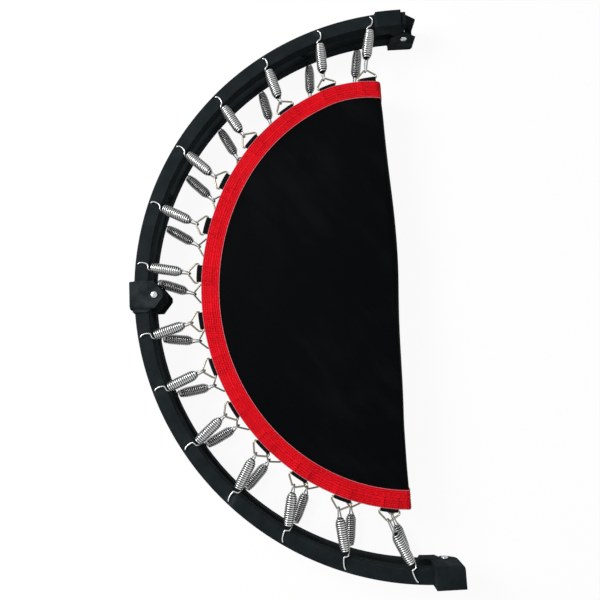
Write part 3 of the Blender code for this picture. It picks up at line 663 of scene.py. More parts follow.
def finish_of(name):
    """The material of that name, made on first use."""
    found = bpy.data.materials.get(name)
    if found is not None:
        return found
    if "Surface Wear" not in bpy.data.node_groups:
        surface_wear_group()
        woven_thread_group()
    scene = bpy.context.scene
    steel, wires, cloth, red = (scene.trampoline_frame, scene.trampoline_springs, scene.trampoline_mat,
                                scene.trampoline_webbing)
    coat, plate = tuple(steel.coat_colour), tuple(wires.plate_colour)
    if name == "Powder Coat":
        return powder_coat(coat, steel.coat_roughness)
    if name == "Zinc Wire":
        return zinc(name, plate, (0.42, 0.42, 0.40), wires.plate_roughness)
    if name == "Yellow Zinc Wire":
        return zinc(name, tuple(wires.ring_colour), (0.10, 0.095, 0.08), wires.plate_roughness)
    if name == "Zinc Bolt":
        return zinc(name, plate, (0.30, 0.30, 0.29), wires.plate_roughness + 0.04)
    if name == "Mat Cloth":
        return woven(name, tuple(cloth.colour), (0.0015, 0.0015, 0.002), cloth.threads, cloth.threads, 0.0004,
                     cloth.roughness, 0.6, 9.0, 0.0, 0.014, Specular_IOR_Level=0.014)
    if name == "Red Webbing":
        return woven(name, tuple(red.colour), tuple(red.gap_colour), 620.0, 340.0, 0.0006, 0.62, 0.5, 22.0,
                     1.5, 0.02, Specular_IOR_Level=0.04)
    if name == "Black Webbing":
        return woven(name, (0.004, 0.004, 0.0045), (0.0008, 0.0008, 0.0008), 620.0, 340.0, 0.0006, 0.7, 0.4,
                     30.0, 0.5, 0.03, Specular_IOR_Level=0.05)
    if name == "Red Thread":
        return thread(name, tuple(red.thread_colour), (0.18, 0.002, 0.006))
    if name == "Edge Thread":
        return thread(name, tuple(red.edge_colour), (0.30, 0.12, 0.14))
    raise ValueError(f"no finish is named {name!r}")


# Tubes


def tube_path():
    """Places along an upper quarter tube's centre line with their outward directions."""
    end = math.asin(TUBE_END_CLEARANCE / TUBE_CENTRE_RADIUS)
    steps = 72
    stations = [(FOLD_X - TUBE_END_CLEARANCE, TUBE_CENTRE_RADIUS, 0.0, 1.0)]
    for i in range(steps + 1):
        turn = math.pi / 2 + (math.pi / 2 - end) * i / steps
        stations.append((TUBE_CENTRE_RADIUS * math.cos(turn), TUBE_CENTRE_RADIUS * math.sin(turn),
                         math.cos(turn), math.sin(turn)))
    return stations


def lengthened(stations, over):
    """The same path with both its ends run on along their tangents."""
    x, y, out_x, out_y = stations[-1]
    first = (stations[0][0] + over, *stations[0][1:])
    return [first] + stations[1:] + [(x - over * out_y, y + over * out_x, out_x, out_y)]


def tube_rings(side, quarter, stations, section):
    """A section of (outward, height above the face) points at each station, in the world."""
    return [[Vector((CENTRE_X + x + o * out_x, quarter * (y + o * out_y), height(side, h)))
             for o, h in section]
            for x, y, out_x, out_y in stations]


def square_section(half, top, bottom, radius, steps=5):
    """A square with round corners, as (outward, height) points."""
    corners = [(half, top), (-half, top), (-half, bottom), (half, bottom)]
    return rounded(corners, radius, steps)


def tube_body(bm, side, quarter, corner):
    """A hollow quarter tube with rounded corners and open ends."""
    path = tube_path()
    outer = skin(bm, tube_rings(side, quarter, path, square_section(TUBE / 2, 0, -TUBE, corner)), caps=False)
    bore = TUBE / 2 - TUBE_WALL
    section = square_section(bore, -TUBE_WALL, TUBE_WALL - TUBE, corner - TUBE_WALL / 2)
    inner = skin(bm, tube_rings(side, quarter, path, section), caps=False)
    count = len(outer[0])
    for end in (0, -1):
        for i in range(count):
            j = (i + 1) % count
            bm.faces.new((outer[end][i], outer[end][j], inner[end][j], inner[end][i]))


def stud_profile():
    """Leg stud under a tube: turned flange, then a threaded post, as (radius, along) points."""
    profile = [(0.0, -TUBE - 0.0005), (0.004, -TUBE - 0.0005)]
    along, end, pitch = -TUBE - 0.0032, -TUBE - 0.0100, 0.00085
    while along > end:
        profile += [(0.00345, along), (0.0040, along - pitch / 2)]
        along -= pitch
    return profile + [(0.0031, end), (0.0, end)]


def make_tube(half, label):
    """One finished quarter tube with its hook holes, and its two leg studs."""
    side, quarter = SIDES[half], QUARTERS[label]
    settings = bpy.context.scene.trampoline_frame
    node, body = f"{half}_{label}_tube", f"{half}_half"
    bm = bmesh.new()
    tube_body(bm, side, quarter, settings.corner_radius)
    tube = new_piece(f"{node}_coated", bm, [finish_of("Powder Coat")])
    holes = bmesh.new()
    for k in range(SPRINGS_PER_HALF):
        spot = hook_hole(side, k)
        if spot.y * quarter > 0:
            drill = [(0, -2 * TUBE_WALL), (0.002, -2 * TUBE_WALL), (0.002, TUBE_WALL), (0, TUBE_WALL)]
            lathe(holes, drill, lambda a, b, c: Vector((CENTRE_X + spot.x + a, spot.y + b, height(side, c))),
                  20)
    shape_with(tube, new_piece("hole_cutter", holes, []), "DIFFERENCE")
    even_normals(tube)

    flanges, posts = bmesh.new(), bmesh.new()
    face, seat = -TUBE + 0.0004, -TUBE - 0.003
    flange = [(0, face), (0.0112, face), (0.0112, -TUBE - 0.0004), (0.0103, -TUBE - 0.0012),
              (0.0100, -TUBE - 0.0018), (0.0098, seat + 0.0003), (0.0094, seat), (0.0046, seat),
              (0.0042, seat + 0.0004), (0, seat + 0.0004)]
    for angle in STUD_TURNS:
        turn = math.radians(90 + angle)
        x, y = CENTRE_X + TUBE_CENTRE_RADIUS * math.cos(turn), quarter * TUBE_CENTRE_RADIUS * math.sin(turn)
        place = lambda a, b, c: Vector((x + a, y + b, height(side, c)))
        lathe(flanges, flange, place, 32)
        lathe(posts, stud_profile(), place, 24)
    parts = [tube, new_piece(f"{half}_{label}_stud_flanges", flanges, [finish_of("Powder Coat")]),
             new_piece(f"{half}_{label}_stud_posts", posts, [finish_of("Powder Coat")], 60)]
    for part in parts:
        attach(part, body)
        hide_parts(node)


# Hinge brackets


def shape_with_prism(piece, outline, place, reach, operation):
    """Shape a piece with a straight prism that runs as far to both sides of the place."""
    bm = bmesh.new()
    prism(bm, outline, place, -reach, reach)
    shape_with(piece, new_piece("prism_shaper", bm, []), operation)


def drill_bolt_hole(bracket, place):
    """Drill a bracket along its hinge's pin."""
    turns = [2 * math.pi * i / 32 for i in range(32)]
    circle = [(BOLT_HOLE_RADIUS * math.cos(t), PIVOT_DEPTH + BOLT_HOLE_RADIUS * math.sin(t)) for t in turns]
    shape_with_prism(bracket, circle, place, 2 * OUTER_HALF_OUT, "DIFFERENCE")


def tube_clearance(side, quarter):
    """A quarter tube's outside with the clearance round it, run on past its ends."""
    bm = bmesh.new()
    section = square_section(TUBE / 2 + GAP, GAP, -TUBE - GAP, 0.0026)
    skin(bm, tube_rings(side, quarter, lengthened(tube_path(), TUBE), section))
    return new_piece("tube_cutter", bm, [])


def outer_bracket(half, label, mid):
    """Wide bracket: a pressed cap welded over its own tube's end, with two ears for the pin."""
    side, quarter = SIDES[half], QUARTERS[label]
    settings = bpy.context.scene.trampoline_frame
    place = hinge_frame(side, quarter, mid)
    length, width, edge = OUTER_HALF_LENGTH, OUTER_HALF_OUT, settings.bracket_edge_radius
    tip = PIVOT_DEPTH + OUTER_EAR_REACH
    plan = rounded([(-length, -width), (length, -width), (length, width), (-length, width)],
                   [0.0012, 0.0012, settings.bracket_corner_radius, 0.0012], 8)
    bm = bmesh.new()
    levels = []
    for step in range(6):
        turn = math.pi / 2 * step / 5
        levels.append((edge * (1 - math.sin(turn)), -WEB_STAND + edge * (1 - math.cos(turn))))
    levels.append((0.0, tip + 0.002))
    rings = []
    for inset, v in levels:
        shrink_u, shrink_w = 1 - inset / length, 1 - inset / width
        rings.append([place(u * shrink_u, v, w * shrink_w) for u, w in plan])
    skin(bm, rings)
    bracket = new_piece(f"{half}_{label}_{'mid' if mid else 'fold'}_outer_cap", bm,
                        [finish_of("Powder Coat")])

    ear = [(-length - 0.01, -WEB_STAND - 0.01), (length + 0.01, -WEB_STAND - 0.01),
           (length + 0.01, OUTER_SIDE_DEPTH - 0.004), (OUTER_EAR_HALF_TIP, tip), (-OUTER_EAR_HALF_TIP, tip),
           (-length - 0.01, OUTER_SIDE_DEPTH - 0.004)]
    shape_with_prism(bracket, rounded(ear, [0, 0, 0.003, 0.006, 0.006, 0.003]), place, 0.05, "INTERSECT")

    end = TUBE_END_CLEARANCE
    own = PIVOT_DEPTH - INNER_EAR_RADIUS - GAP - SHEET / 2
    cavity = [(-end, SHEET - WEB_STAND), (2 * length, SHEET - WEB_STAND), (2 * length, 0.08),
              (-2 * length, 0.08), (-2 * length, own), (-end, own)]
    shape_with_prism(bracket, cavity, place, OUTER_HALF_IN, "DIFFERENCE")
    shape_with(bracket, tube_clearance(side, quarter), "DIFFERENCE")
    drill_bolt_hole(bracket, place)
    even_normals(bracket)
    return bracket, place


def first_hole(side, quarter):
    """Distance along X from the fold line's pins to a quarter's nearest hook hole."""
    places = [hook_hole(side, k) for k in range(SPRINGS_PER_HALF)]
    return min(FOLD_X - spot.x for spot in places if spot.y * quarter > 0)


def inner_bracket(half, label, mid):
    """Narrow bracket: follows its own tube's arc and reaches the pin inside the wide one."""
    side, quarter = SIDES[half], QUARTERS[label]
    place = hinge_frame(side, quarter, mid)
    reach = INNER_REACH_MID if mid else min(INNER_REACH_FOLD, first_hole(side, quarter) - HOLE_TO_BRACKET)
    cover = GAP + SHEET
    shoulder = min(INNER_REACH_MID, reach) - GAP
    outline = rounded([(-INNER_START, -cover), (-reach, -cover), (-reach, TUBE), (-shoulder, TUBE + GAP)],
                      [0.002, 0.003, 0.004, 0.002])
    for step in range(25):
        turn = math.radians(120 - 210 * step / 24)
        outline.append((INNER_EAR_RADIUS * math.cos(turn), PIVOT_DEPTH + INNER_EAR_RADIUS * math.sin(turn)))
    bm = bmesh.new()
    prism(bm, outline, place, -TUBE, TUBE)
    bracket = new_piece(f"{half}_{label}_{'mid' if mid else 'fold'}_inner_strap", bm,
                        [finish_of("Powder Coat")])

    far = 2 * PIVOT_DEPTH
    path = lengthened(tube_path(), TUBE)
    for wide, top, deep, rounding, action in ((INNER_HALF_OUT, cover, far, 0.0035, "INTERSECT"),
                                              (INNER_HALF_IN, GAP, far + SHEET, 0.0015, "DIFFERENCE")):
        if mid:
            out, far_out = TUBE / 2 + top, TUBE / 2 - deep
            section = [(out, -TUBE / 2 - wide), (out, wide - TUBE / 2), (far_out, wide - TUBE / 2),
                       (far_out, -TUBE / 2 - wide)]
        else:
            section = [(wide, top), (-wide, top), (-wide, -deep), (wide, -deep)]
        bm = bmesh.new()
        skin(bm, tube_rings(side, quarter, path, rounded(section, [rounding, rounding, 0, 0], 5)))
        shape_with(bracket, new_piece("strap_shaper", bm, []), action)
    drill_bolt_hole(bracket, place)
    even_normals(bracket)
    return bracket, place, reach


def weld_bead(name, outline, place, ripple_seed):
    """A rippled weld along an open outline of (u, v, w) points."""
    spots = [Vector(spot) for spot in outline]
    points = []
    for start, end in zip(spots, spots[1:]):
        steps = max(2, round((end - start).length / WELD_STEP))
        points += [start.lerp(end, i / steps) for i in range(steps)]
    points.append(spots[-1])
    sizes = []
    for i in range(len(points)):
        ripple = 0.5 + 0.5 * math.sin(i * 1.9)
        wander = noise.noise(Vector((i * 0.11, ripple_seed, 0.0)))
        sizes.append(WELD_RADIUS + WELD_RIPPLE * ripple + WELD_WANDER * wander)
    sizes[0] = sizes[-1] = WELD_END_RADIUS
    bm = bmesh.new()
    wire(bm, [place(*spot) for spot in points], sizes, 8)
    return new_piece(name, bm, [finish_of("Powder Coat")], 60)


def make_bracket(half, label, mid, outer):
    """One finished bracket with the weld that holds it."""
    body = f"{half}_half"
    spot = "mid" if mid else "fold"
    node = f"{half}_{label}_{spot}_{'outer' if outer else 'inner'}_bracket"
    if outer:
        bracket, place = outer_bracket(half, label, mid)
        edge, deep = -OUTER_HALF_LENGTH - WELD_PAST_EDGE, TUBE - 0.003
    else:
        bracket, place, reach = inner_bracket(half, label, mid)
        edge, deep = -reach - WELD_PAST_EDGE, TUBE - 0.004
    wide, turn = TUBE / 2 + WELD_STAND, 0.0016
    past_straight = 0.0 if mid else max(0.0, -edge - FOLD_X)
    shift = past_straight ** 2 / (2 * TUBE_CENTRE_RADIUS)
    face = -WELD_STAND + (edge ** 2 / (2 * RING_RADIUS) if mid else 0.0)
    outline = [(edge, deep, shift - wide), (edge, face + turn, shift - wide),
               (edge, face, shift - wide + turn), (edge, face, shift + wide - turn),
               (edge, face + turn, shift + wide), (edge, deep, shift + wide)]
    weld = weld_bead(f"{node}_weld", outline, place, len(node) * 1.7)
    for piece in (bracket, weld):
        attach(piece, body)
    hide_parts(node)


# Pivot bolts


def make_bolt(half, label, mid):
    """Domed pivot bolt and its hexagon nut."""
    side, quarter = SIDES[half], QUARTERS[label]
    place = hinge_frame(side, quarter, mid)
    at_pin = lambda a, b, c: place(a, PIVOT_DEPTH + b, c)
    stem = f"{half}_{label}_{'mid' if mid else 'fold'}"
    seat = OUTER_HALF_OUT + GAP
    end = -seat - NUT_HEIGHT - GAP
    bm = bmesh.new()
    shank = [(0, end), (SHANK_RADIUS - 0.0006, end), (SHANK_RADIUS, end + 0.0006), (SHANK_RADIUS, seat)]
    dome = [(HEAD_RADIUS - 0.0002, seat), (HEAD_RADIUS, seat + 0.0002), (HEAD_RADIUS, seat + 0.0008)]
    for step in range(1, 9):
        turn = math.pi / 2 * step / 8
        dome.append((HEAD_RADIUS * math.cos(turn), seat + 0.0008 + (HEAD_HEIGHT - 0.0008) * math.sin(turn)))
    dome[-1] = (0, seat + HEAD_HEIGHT)
    lathe(bm, shank + dome, at_pin, 40)
    bolt = new_piece(f"{stem}_pivot_bolt", bm, [finish_of("Zinc Bolt")])
    bm = bmesh.new()
    key = [(SOCKET_RADIUS * math.cos(math.pi * i / 3), SOCKET_RADIUS * math.sin(math.pi * i / 3))
           for i in range(6)]
    prism(bm, key, at_pin, seat + HEAD_HEIGHT - SOCKET_DEPTH, seat + 2 * HEAD_HEIGHT)
    shape_with(bolt, new_piece("socket_cutter", bm, []), "DIFFERENCE")
    bm = bmesh.new()
    bore = SHANK_RADIUS + 0.0001
    low, high = -seat - NUT_HEIGHT, -seat
    levels = ((bore + 0.0003, low, 32), (NUT_RADIUS * 0.86, low, 32), (NUT_RADIUS, low + 0.0008, 6),
              (NUT_RADIUS, high - 0.0005, 6), (NUT_RADIUS * 0.90, high, 32), (bore, high, 32),
              (bore, low + 0.0003, 32))
    rings = []
    for radius, along, corners in levels:
        ring = []
        for i in range(36):
            turn = 2 * math.pi * i / 36
            flat = 1.0
            if corners == 6:
                within = (turn % (math.pi / 3)) - math.pi / 6
                flat = math.cos(math.pi / 6) / math.cos(within)
            ring.append(at_pin(radius * flat * math.cos(turn), radius * flat * math.sin(turn), along))
        rings.append(ring)
    skin(bm, rings, closed=True)
    nut = new_piece(f"{stem}_pivot_nut", bm, [finish_of("Zinc Bolt")], 25)
    for piece, node in ((bolt, f"{stem}_bolt"), (nut, f"{stem}_nut")):
        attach(piece, f"{half}_half")
        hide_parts(node)


# Springs


def spring_points(side, k, wires):
    """A barrel spring's centre line: hook, close coils, and the bent eye round the ring's wire."""
    to_world, edge, length = spring_frame(side, k)
    radius = wires.wire_diameter / 2
    lift = radius + WIRE_CLEARANCE
    coil, first_coil, last_coil = (wires.coil_diameter / 2 - radius, wires.start_diameter / 2 - radius,
                                   wires.end_diameter / 2 - radius)
    slant = math.sqrt(max(0.0, (edge / (TUBE - HOLE_INSET)) ** 2 - 1))
    aside = COIL_ASIDE - COIL_ASIDE_FALL * smooth_step(*COIL_ASIDE_TURNS, nominal_turn(k))
    start = edge + radius + COIL_CLEARANCE + (first_coil + abs(aside)) * slant
    body = wires.body_length
    height_at = lambda share: -COIL_DROP - COIL_DROP_MORE * share
    bulge = HOOK_BULGE + HOOK_BULGE_SWING * math.sin(math.radians(nominal_turn(k)))

    hook = [(0.0, 0.0, -0.0045), (0.0, 0.0, -0.0012), (0.0003, 0.0005, 0.0006), (0.0012, 0.35 * bulge, lift),
            (0.0034, 0.80 * bulge, lift), (0.0072, bulge, lift), (0.0120, 0.95 * bulge, lift),
            (edge - 0.0042, 0.66 * bulge, lift), (edge - 0.0018, 0.0004, lift),
            (edge - 0.0006, aside - 0.0034, lift * 0.95)]
    points = [to_world(a, side * s, h) for a, s, h in curve_through(hook, 3)]
    sizes = [radius * HOOK_SHARE] * len(points)
    turns = wires.coils + 0.5
    steps = int(turns * SPRING_STEPS)
    for i in range(steps + 1):
        share = i / steps
        opening = math.sin(math.pi / 2 * min(1.0, share / BARREL_OPENING))
        closing = math.sin(math.pi / 2 * min(1.0, (1 - share) / BARREL_CLOSING))
        around = first_coil + (coil - first_coil) * opening - (coil - last_coil) * (1 - closing)
        turn = 2 * math.pi * turns * share - math.pi / 2 - 0.35
        points.append(to_world(start + body * share, side * (around * math.sin(turn) + aside * (1 - share)),
                               height_at(share) - around * math.cos(turn)))
        sizes.append(radius * (HOOK_SHARE + (1 - HOOK_SHARE) * min(1.0, 12 * share, 12 * (1 - share))))
    last = start + body
    over = wires.ring_wire / 2 + radius * HOOK_SHARE + WIRE_CLEARANCE
    level = -MAT_DEPTH
    eye = [(last + 0.0012, 0.0035, level + 0.0024), (last + 0.0036, 0.0024, level + 0.0022),
           (length - 0.0050, 0.0017, level + over * 0.95), (length - 0.0008, 0.0014, level + over),
           (length + over * 0.8, 0.0008, level + over * 0.55), (length + over, 0.0, level),
           (length + over * 0.8, -0.0008, level - over * 0.55), (length - 0.0008, -0.0014, level - over),
           (length - 0.0050, -0.0017, level - over * 0.9), (last + 0.0040, -0.0022, level - over * 0.6),
           (last + 0.0010, -0.0026, level - over * 0.4)]
    coil_from, coil_to = len(points) - steps - 1, len(points)
    points += [to_world(a, side * s, h) for a, s, h in curve_through(eye, 3)]
    sizes += [radius * HOOK_SHARE] * (len(points) - coil_to)
    axis = (to_world(start, side * aside, height_at(0)), to_world(last, 0, height_at(1)))
    return points, sizes, axis, to_world, edge, length, (coil_from, coil_to)


def curve_through(points, between):
    """More points on a smooth curve through the given ones."""
    spots = [Vector(point) for point in points]
    made = []
    for i in range(len(spots) - 1):
        before = spots[max(i - 1, 0)]
        start, end = spots[i], spots[i + 1]
        after = spots[min(i + 2, len(spots) - 1)]
        for step in range(between):
            t = step / between
            made.append(0.5 * (2 * start + (end - before) * t
                               + (2 * before - 5 * start + 4 * end - after) * t ** 2
                               + (3 * start - before - 3 * end + after) * t ** 3))
    made.append(spots[-1])
    return made


def mark_painted_shade(spring, side, points, sizes, axis, coil):
    """Store how much painted shade darkens each point of a spring's wire, from 0 to 1.

    Shade is painted between a coil's turns and on the half that faces away from the jumping side, and the
    bent eye is made darker all over.
    """
    mark = spring.data.attributes.new("Painted Shade", "FLOAT", "POINT")
    values = [0.0] * len(spring.data.vertices)
    low, along = axis[0], (axis[1] - axis[0]).normalized()
    for i, spot in enumerate(points):
        centre = Vector(spot)
        out = (centre - low - along * (centre - low).dot(along)).normalized()
        # Painted shade on the half of the wire that faces away from the jumping side
        shade_below = UNDERSIDE_SHADE * (1 - smooth_step(*UNDERSIDE_SHADE_FACING, side * out.z))
        for j in range(SPRING_SIDES):
            index = i * SPRING_SIDES + j
            # The bent eye is made darker all over
            if i >= coil[1]:
                values[index] = EYE_DARKENING
            elif i >= coil[0]:
                lean = (spring.data.vertices[index].co - centre).dot(out) / sizes[i]
                # Painted shade on the sides of each turn, where its neighbours shade it
                values[index] = max(shade_below, 1 - smooth_step(*TURN_SHADE_LEAN, lean))
    mark.data.foreach_set("value", values)


def make_springs(half):
    """A half's fourteen barrel springs, each stretched between the frame and the mat."""
    side = SIDES[half]
    wires = bpy.context.scene.trampoline_springs
    for k in range(SPRINGS_PER_HALF):
        points, sizes, axis, to_world, edge, length, coil = spring_points(side, k, wires)
        bm = bmesh.new()
        wire(bm, points, sizes, SPRING_SIDES)
        spring = new_piece(f"{half}_spring_{k + 1:02d}_coil", bm, [finish_of("Zinc Wire")], 80)
        mark_painted_shade(spring, side, points, sizes, axis, coil)
        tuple(to_world(edge - 0.004, 0, 0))
        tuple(to_world(length - 0.006, 0, 0))
        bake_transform(spring)
        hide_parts(f"{half}_spring_{k + 1:02d}")


# Rings and loops


def ring_outline():
    """Centre line of a triangular ring with round corners, as (outward, along the rim) points."""
    wires = bpy.context.scene.trampoline_springs
    half = RING_WIDTH / 2 - wires.ring_wire / 2 + 0.0008
    corners = [(RING_BASE_OFFSET, -half), (RING_BASE_OFFSET, half), (RING_BASE_OFFSET + 0.0050, half),
               (RING_APEX_OFFSET, 0.003), (RING_APEX_OFFSET, -0.003), (RING_BASE_OFFSET + 0.0050, -half)]
    outline = rounded(corners, [0.0034, 0.0034, 0.0045, 0.004, 0.004, 0.0045], 5)
    points = []
    for start, end in zip(outline, outline[1:] + outline[:1]):
        start, end = Vector(start), Vector(end)
        steps = max(1, round((end - start).length / 0.004))
        points += [start.lerp(end, i / steps) for i in range(steps)]
    return points


def loop_profile(side_gap):
    """Side view of a folded webbing loop round the ring's base, as (outward, above the mat) points."""
    points = [(-LOOP_LEG, 0.0012), (-LOOP_LEG * 0.6, 0.00125), (-0.004, 0.00135), (0.0, 0.0016)]
    for step in range(9):
        turn = math.radians(110 - 220 * step / 8)
        points.append((RING_BASE_OFFSET + side_gap * math.cos(turn), side_gap * math.sin(turn)))
    points += [(0.0, -0.0016), (-0.004, -0.00135), (-LOOP_LEG * 0.6, -0.00125), (-LOOP_LEG, -0.0012)]
    return points


def make_rings_and_loops(half):
    """A half's fourteen rings, and the folded webbing loops that hold them."""
    side = SIDES[half]
    wires = bpy.context.scene.trampoline_springs
    rings, loops = bmesh.new(), bmesh.new()
    cloth = loops.loops.layers.uv.new("Cloth")
    outline = ring_outline()
    around_ring = loop_profile(wires.ring_wire / 2 + LOOP_RING_GAP)
    profile = curve_through([(a, c, 0) for a, c in around_ring], 2)
    stations = [LOOP_NARROWING * LOOP_WIDTH * (i / LOOP_COLUMNS - 0.5) for i in range(LOOP_COLUMNS + 1)]
    run = [0.0]
    for one, two in zip(profile, profile[1:]):
        run.append(run[-1] + (two - one).length)
    flat = [[(along, b + 1) for b in stations] for along in run]
    for k in range(SPRINGS_PER_HALF):
        place = rim_frame(side, k)
        wire(rings, [place(a, b, 0) for a, b in outline], wires.ring_wire / 2, 10, closed=True)
        drift = random.Random(40 * k + side).uniform(-LOOP_DRIFT, LOOP_DRIFT)
        for outward in (0, 1):
            grid = []
            for i, spot in enumerate(profile):
                before, after = profile[max(i - 1, 0)], profile[min(i + 1, len(profile) - 1)]
                tangent = (after - before).normalized()
                half_thick = LOOP_THICKNESS / 2 if outward else -LOOP_THICKNESS / 2
                normal = Vector((-tangent.y, tangent.x, 0)) * half_thick
                row = []
                for b in stations:
                    swell = 1 - LOOP_PINCH * abs(2 * b / LOOP_WIDTH) ** 3
                    row.append(loops.verts.new(place(
                        (spot.x + normal.x) * swell if spot.x > 0 else spot.x + normal.x,
                        b + drift, spot.y + normal.y)))
                grid.append(row)
            cloth_faces(loops, cloth, grid, flat)
            if outward:
                for j in (0, LOOP_COLUMNS):
                    for i in range(len(grid) - 1):
                        loops.faces.new((inner[i][j], inner[i + 1][j], grid[i + 1][j], grid[i][j]))
                for i in (0, -1):
                    for j in range(LOOP_COLUMNS):
                        loops.faces.new((inner[i][j], grid[i][j], grid[i][j + 1], inner[i][j + 1]))
            inner = grid
    ring_piece = new_piece(f"{half}_triangle_rings", rings, [finish_of("Yellow Zinc Wire")], 80)
    loop_piece = new_piece(f"{half}_ring_loops", loops, [finish_of("Black Webbing")], 50)
    for piece, finish in ((ring_piece, "zinc_plated_steel"), (loop_piece, "woven_mat")):
        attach(piece, f"{half}_mat")
        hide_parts(f"{half}_mat")


# Mat


def fold_curve(share):
    """A point of the fold's quarter bend: (past the turn, below the mat), and its outward direction."""
    last = math.acos(GAP / FOLD_HEIGHT)
    turn = last * share
    spot = Vector((FOLD_REACH * math.sin(turn), FOLD_HEIGHT * (math.cos(turn) - 1)))
    out = Vector((FOLD_HEIGHT * math.sin(turn), FOLD_REACH * math.cos(turn))).normalized()
    return spot, out


def fold_bow(y, share):
    """How far the slack fold stands out of its plain curve at a place along it.

    It swells between the two edges of the strip a little above the middle, and draws in toward both
    ends of the fold.
    """
    reach = FOLD_SWELL_ABOVE if y > FOLD_SWELL_PLACE else FOLD_SWELL_BELOW
    swell = FOLD_SWELL * math.exp(-((y - FOLD_SWELL_PLACE) / reach) ** 2)
    draw = FOLD_DRAW * min(1.0, abs(y - FOLD_SWELL_PLACE) / FOLD_DRAW_REACH) ** 3
    return swell * math.sin(math.pi * share) - draw * math.sin(math.pi / 2 * share)


def rim_slack(turn):
    """How far the slack rim hangs inside its ellipse at an angle of it."""
    slack = RIM_SLACK * math.exp(-((math.degrees(turn) - RIM_SLACK_PLACE) / RIM_SLACK_REACH) ** 2)
    return slack + corner_slack(turn)


def mat_wave(x, y):
    """Slack waves of the mat away from its rim, in metres."""
    slow = noise.noise(Vector((x * 7.0, y * 4.0, 0.3))) + 0.4 * noise.noise(Vector((x * 18.0, y * 9.0, 2.1)))
    pucker = 0.5 * math.sin(y * 23.0 + x * 9.0) * smooth_step(-0.20, -0.06, x)
    return slow + pucker


def mat_left(y, half_x, half_y):
    """Where the slack rim runs at a place along Y, from the ring's centre along X."""
    low, high = math.pi / 2, 3 * math.pi / 2
    for _ in range(RIM_HALVINGS):
        turn = (low + high) / 2
        inside = rim_slack(turn)
        if half_y * math.sin(turn) - inside * math.sin(turn) > y:
            low = turn
        else:
            high = turn
    left = MAT_CENTRE_X + (half_x - inside) * math.cos(turn)
    return min(left, FOLD_TURN_X - FOLD_TURN_GAP)


def make_mat(half):
    """Half of the mat with its side of the fold, as one woven sheet."""
    side = SIDES[half]
    settings = bpy.context.scene.trampoline_mat
    half_x, half_y = MAT_HALF_X - MAT_UNDER_BAND, MAT_HALF_Y - MAT_UNDER_BAND
    turn_y = half_y * math.sqrt(1 - ((FOLD_TURN_X - MAT_CENTRE_X) / half_x) ** 2)
    rows, columns, bends = 96, 56, 14
    bm = bmesh.new()
    cloth = bm.loops.layers.uv.new("Cloth")
    grid, flat, area = [], [], 0.0
    bend_run = 0.0
    for i in range(bends):
        bend_run += (fold_curve((i + 1) / bends)[0] - fold_curve(i / bends)[0]).length
    laps = ((0.0, 1), (FOLD_LAP, 2))
    first = math.acos((FOLD_TURN_X - MAT_CENTRE_X) / MAT_HALF_X)
    top = turn_y - corner_slack(first)
    for i in range(rows + 1):
        y = (top - turn_y) / 2 + (top + turn_y) / 2 * math.sin(math.pi * (i / rows - 0.5))
        left = mat_left(y, half_x, half_y)
        row, spots = [], []
        for j in range(columns + 1):
            x = left + (FOLD_TURN_X - left) * j / columns
            end = min((top - y) * WAVE_END_SHARE, (turn_y + y) * WAVE_END_SHARE)
            rim = smooth_step(*WAVE_RISE, min(x - left, end))
            bow = settings.slack * mat_wave(x, y) * rim
            row.append(bm.verts.new((CENTRE_X + x, y, height(side, bow - MAT_DEPTH))))
            spots.append((x + 1, y + 1))
        for j in range(1, bends + 1):
            spot, out = fold_curve(j / bends)
            rim = smooth_step(*WAVE_RISE, min(top - y, turn_y + y) * WAVE_END_SHARE)
            bow = settings.slack * mat_wave(FOLD_TURN_X, y) * rim * (1 - j / bends)
            across = CENTRE_X + FOLD_TURN_X + spot.x + bow * out.x + fold_bow(y, j / bends)
            if j < bends:
                row.append(bm.verts.new((across, y, height(side, spot.y + bow * out.y - MAT_DEPTH))))
                spots.append((FOLD_TURN_X + bend_run * j / bends + 1, y + 1))
        for past, steps in laps:
            row.append(bm.verts.new((across + side * steps * FOLD_LAP_STEP, y,
                                     height(side, spot.y - past - MAT_DEPTH))))
            spots.append((FOLD_TURN_X + bend_run + past + 1, y + 1))
        grid.append(row)
        flat.append(spots)
    cloth_faces(bm, cloth, grid, flat)
    for low, high in zip(flat, flat[1:]):
        area += ((low[-1][0] - low[0][0]) + (high[-1][0] - high[0][0])) / 2 * (high[0][1] - low[0][1])
    piece = new_piece(f"{half}_mat_cloth", bm, [finish_of("Mat Cloth")], 80)
    thicken = piece.modifiers.new("cloth_thickness", "SOLIDIFY")
    thicken.thickness = CLOTH_THICKNESS
    thicken.offset = 0
    settle_modifiers(piece)
    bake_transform(piece)
    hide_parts(f"{half}_mat", f"{half}_mat_fold")


# Edge webbing


def band_end(side, y):
    """Stations of the band round the fold at one of its ends, from the turn to its very end."""
    level, inward = height(side, -MAT_DEPTH), Vector((0, -1 if y > 0 else 1, 0))
    stations = []
    for j in range(1, BAND_BENDS + 1):
        spot, face = fold_curve(j / BAND_BENDS)
        across = CENTRE_X + FOLD_TURN_X + spot.x + fold_bow(y, j / BAND_BENDS)
        stations.append((Vector((across, y, level + side * spot.y)), inward,
                         Vector((face.x, 0, side * face.y))))
    return stations


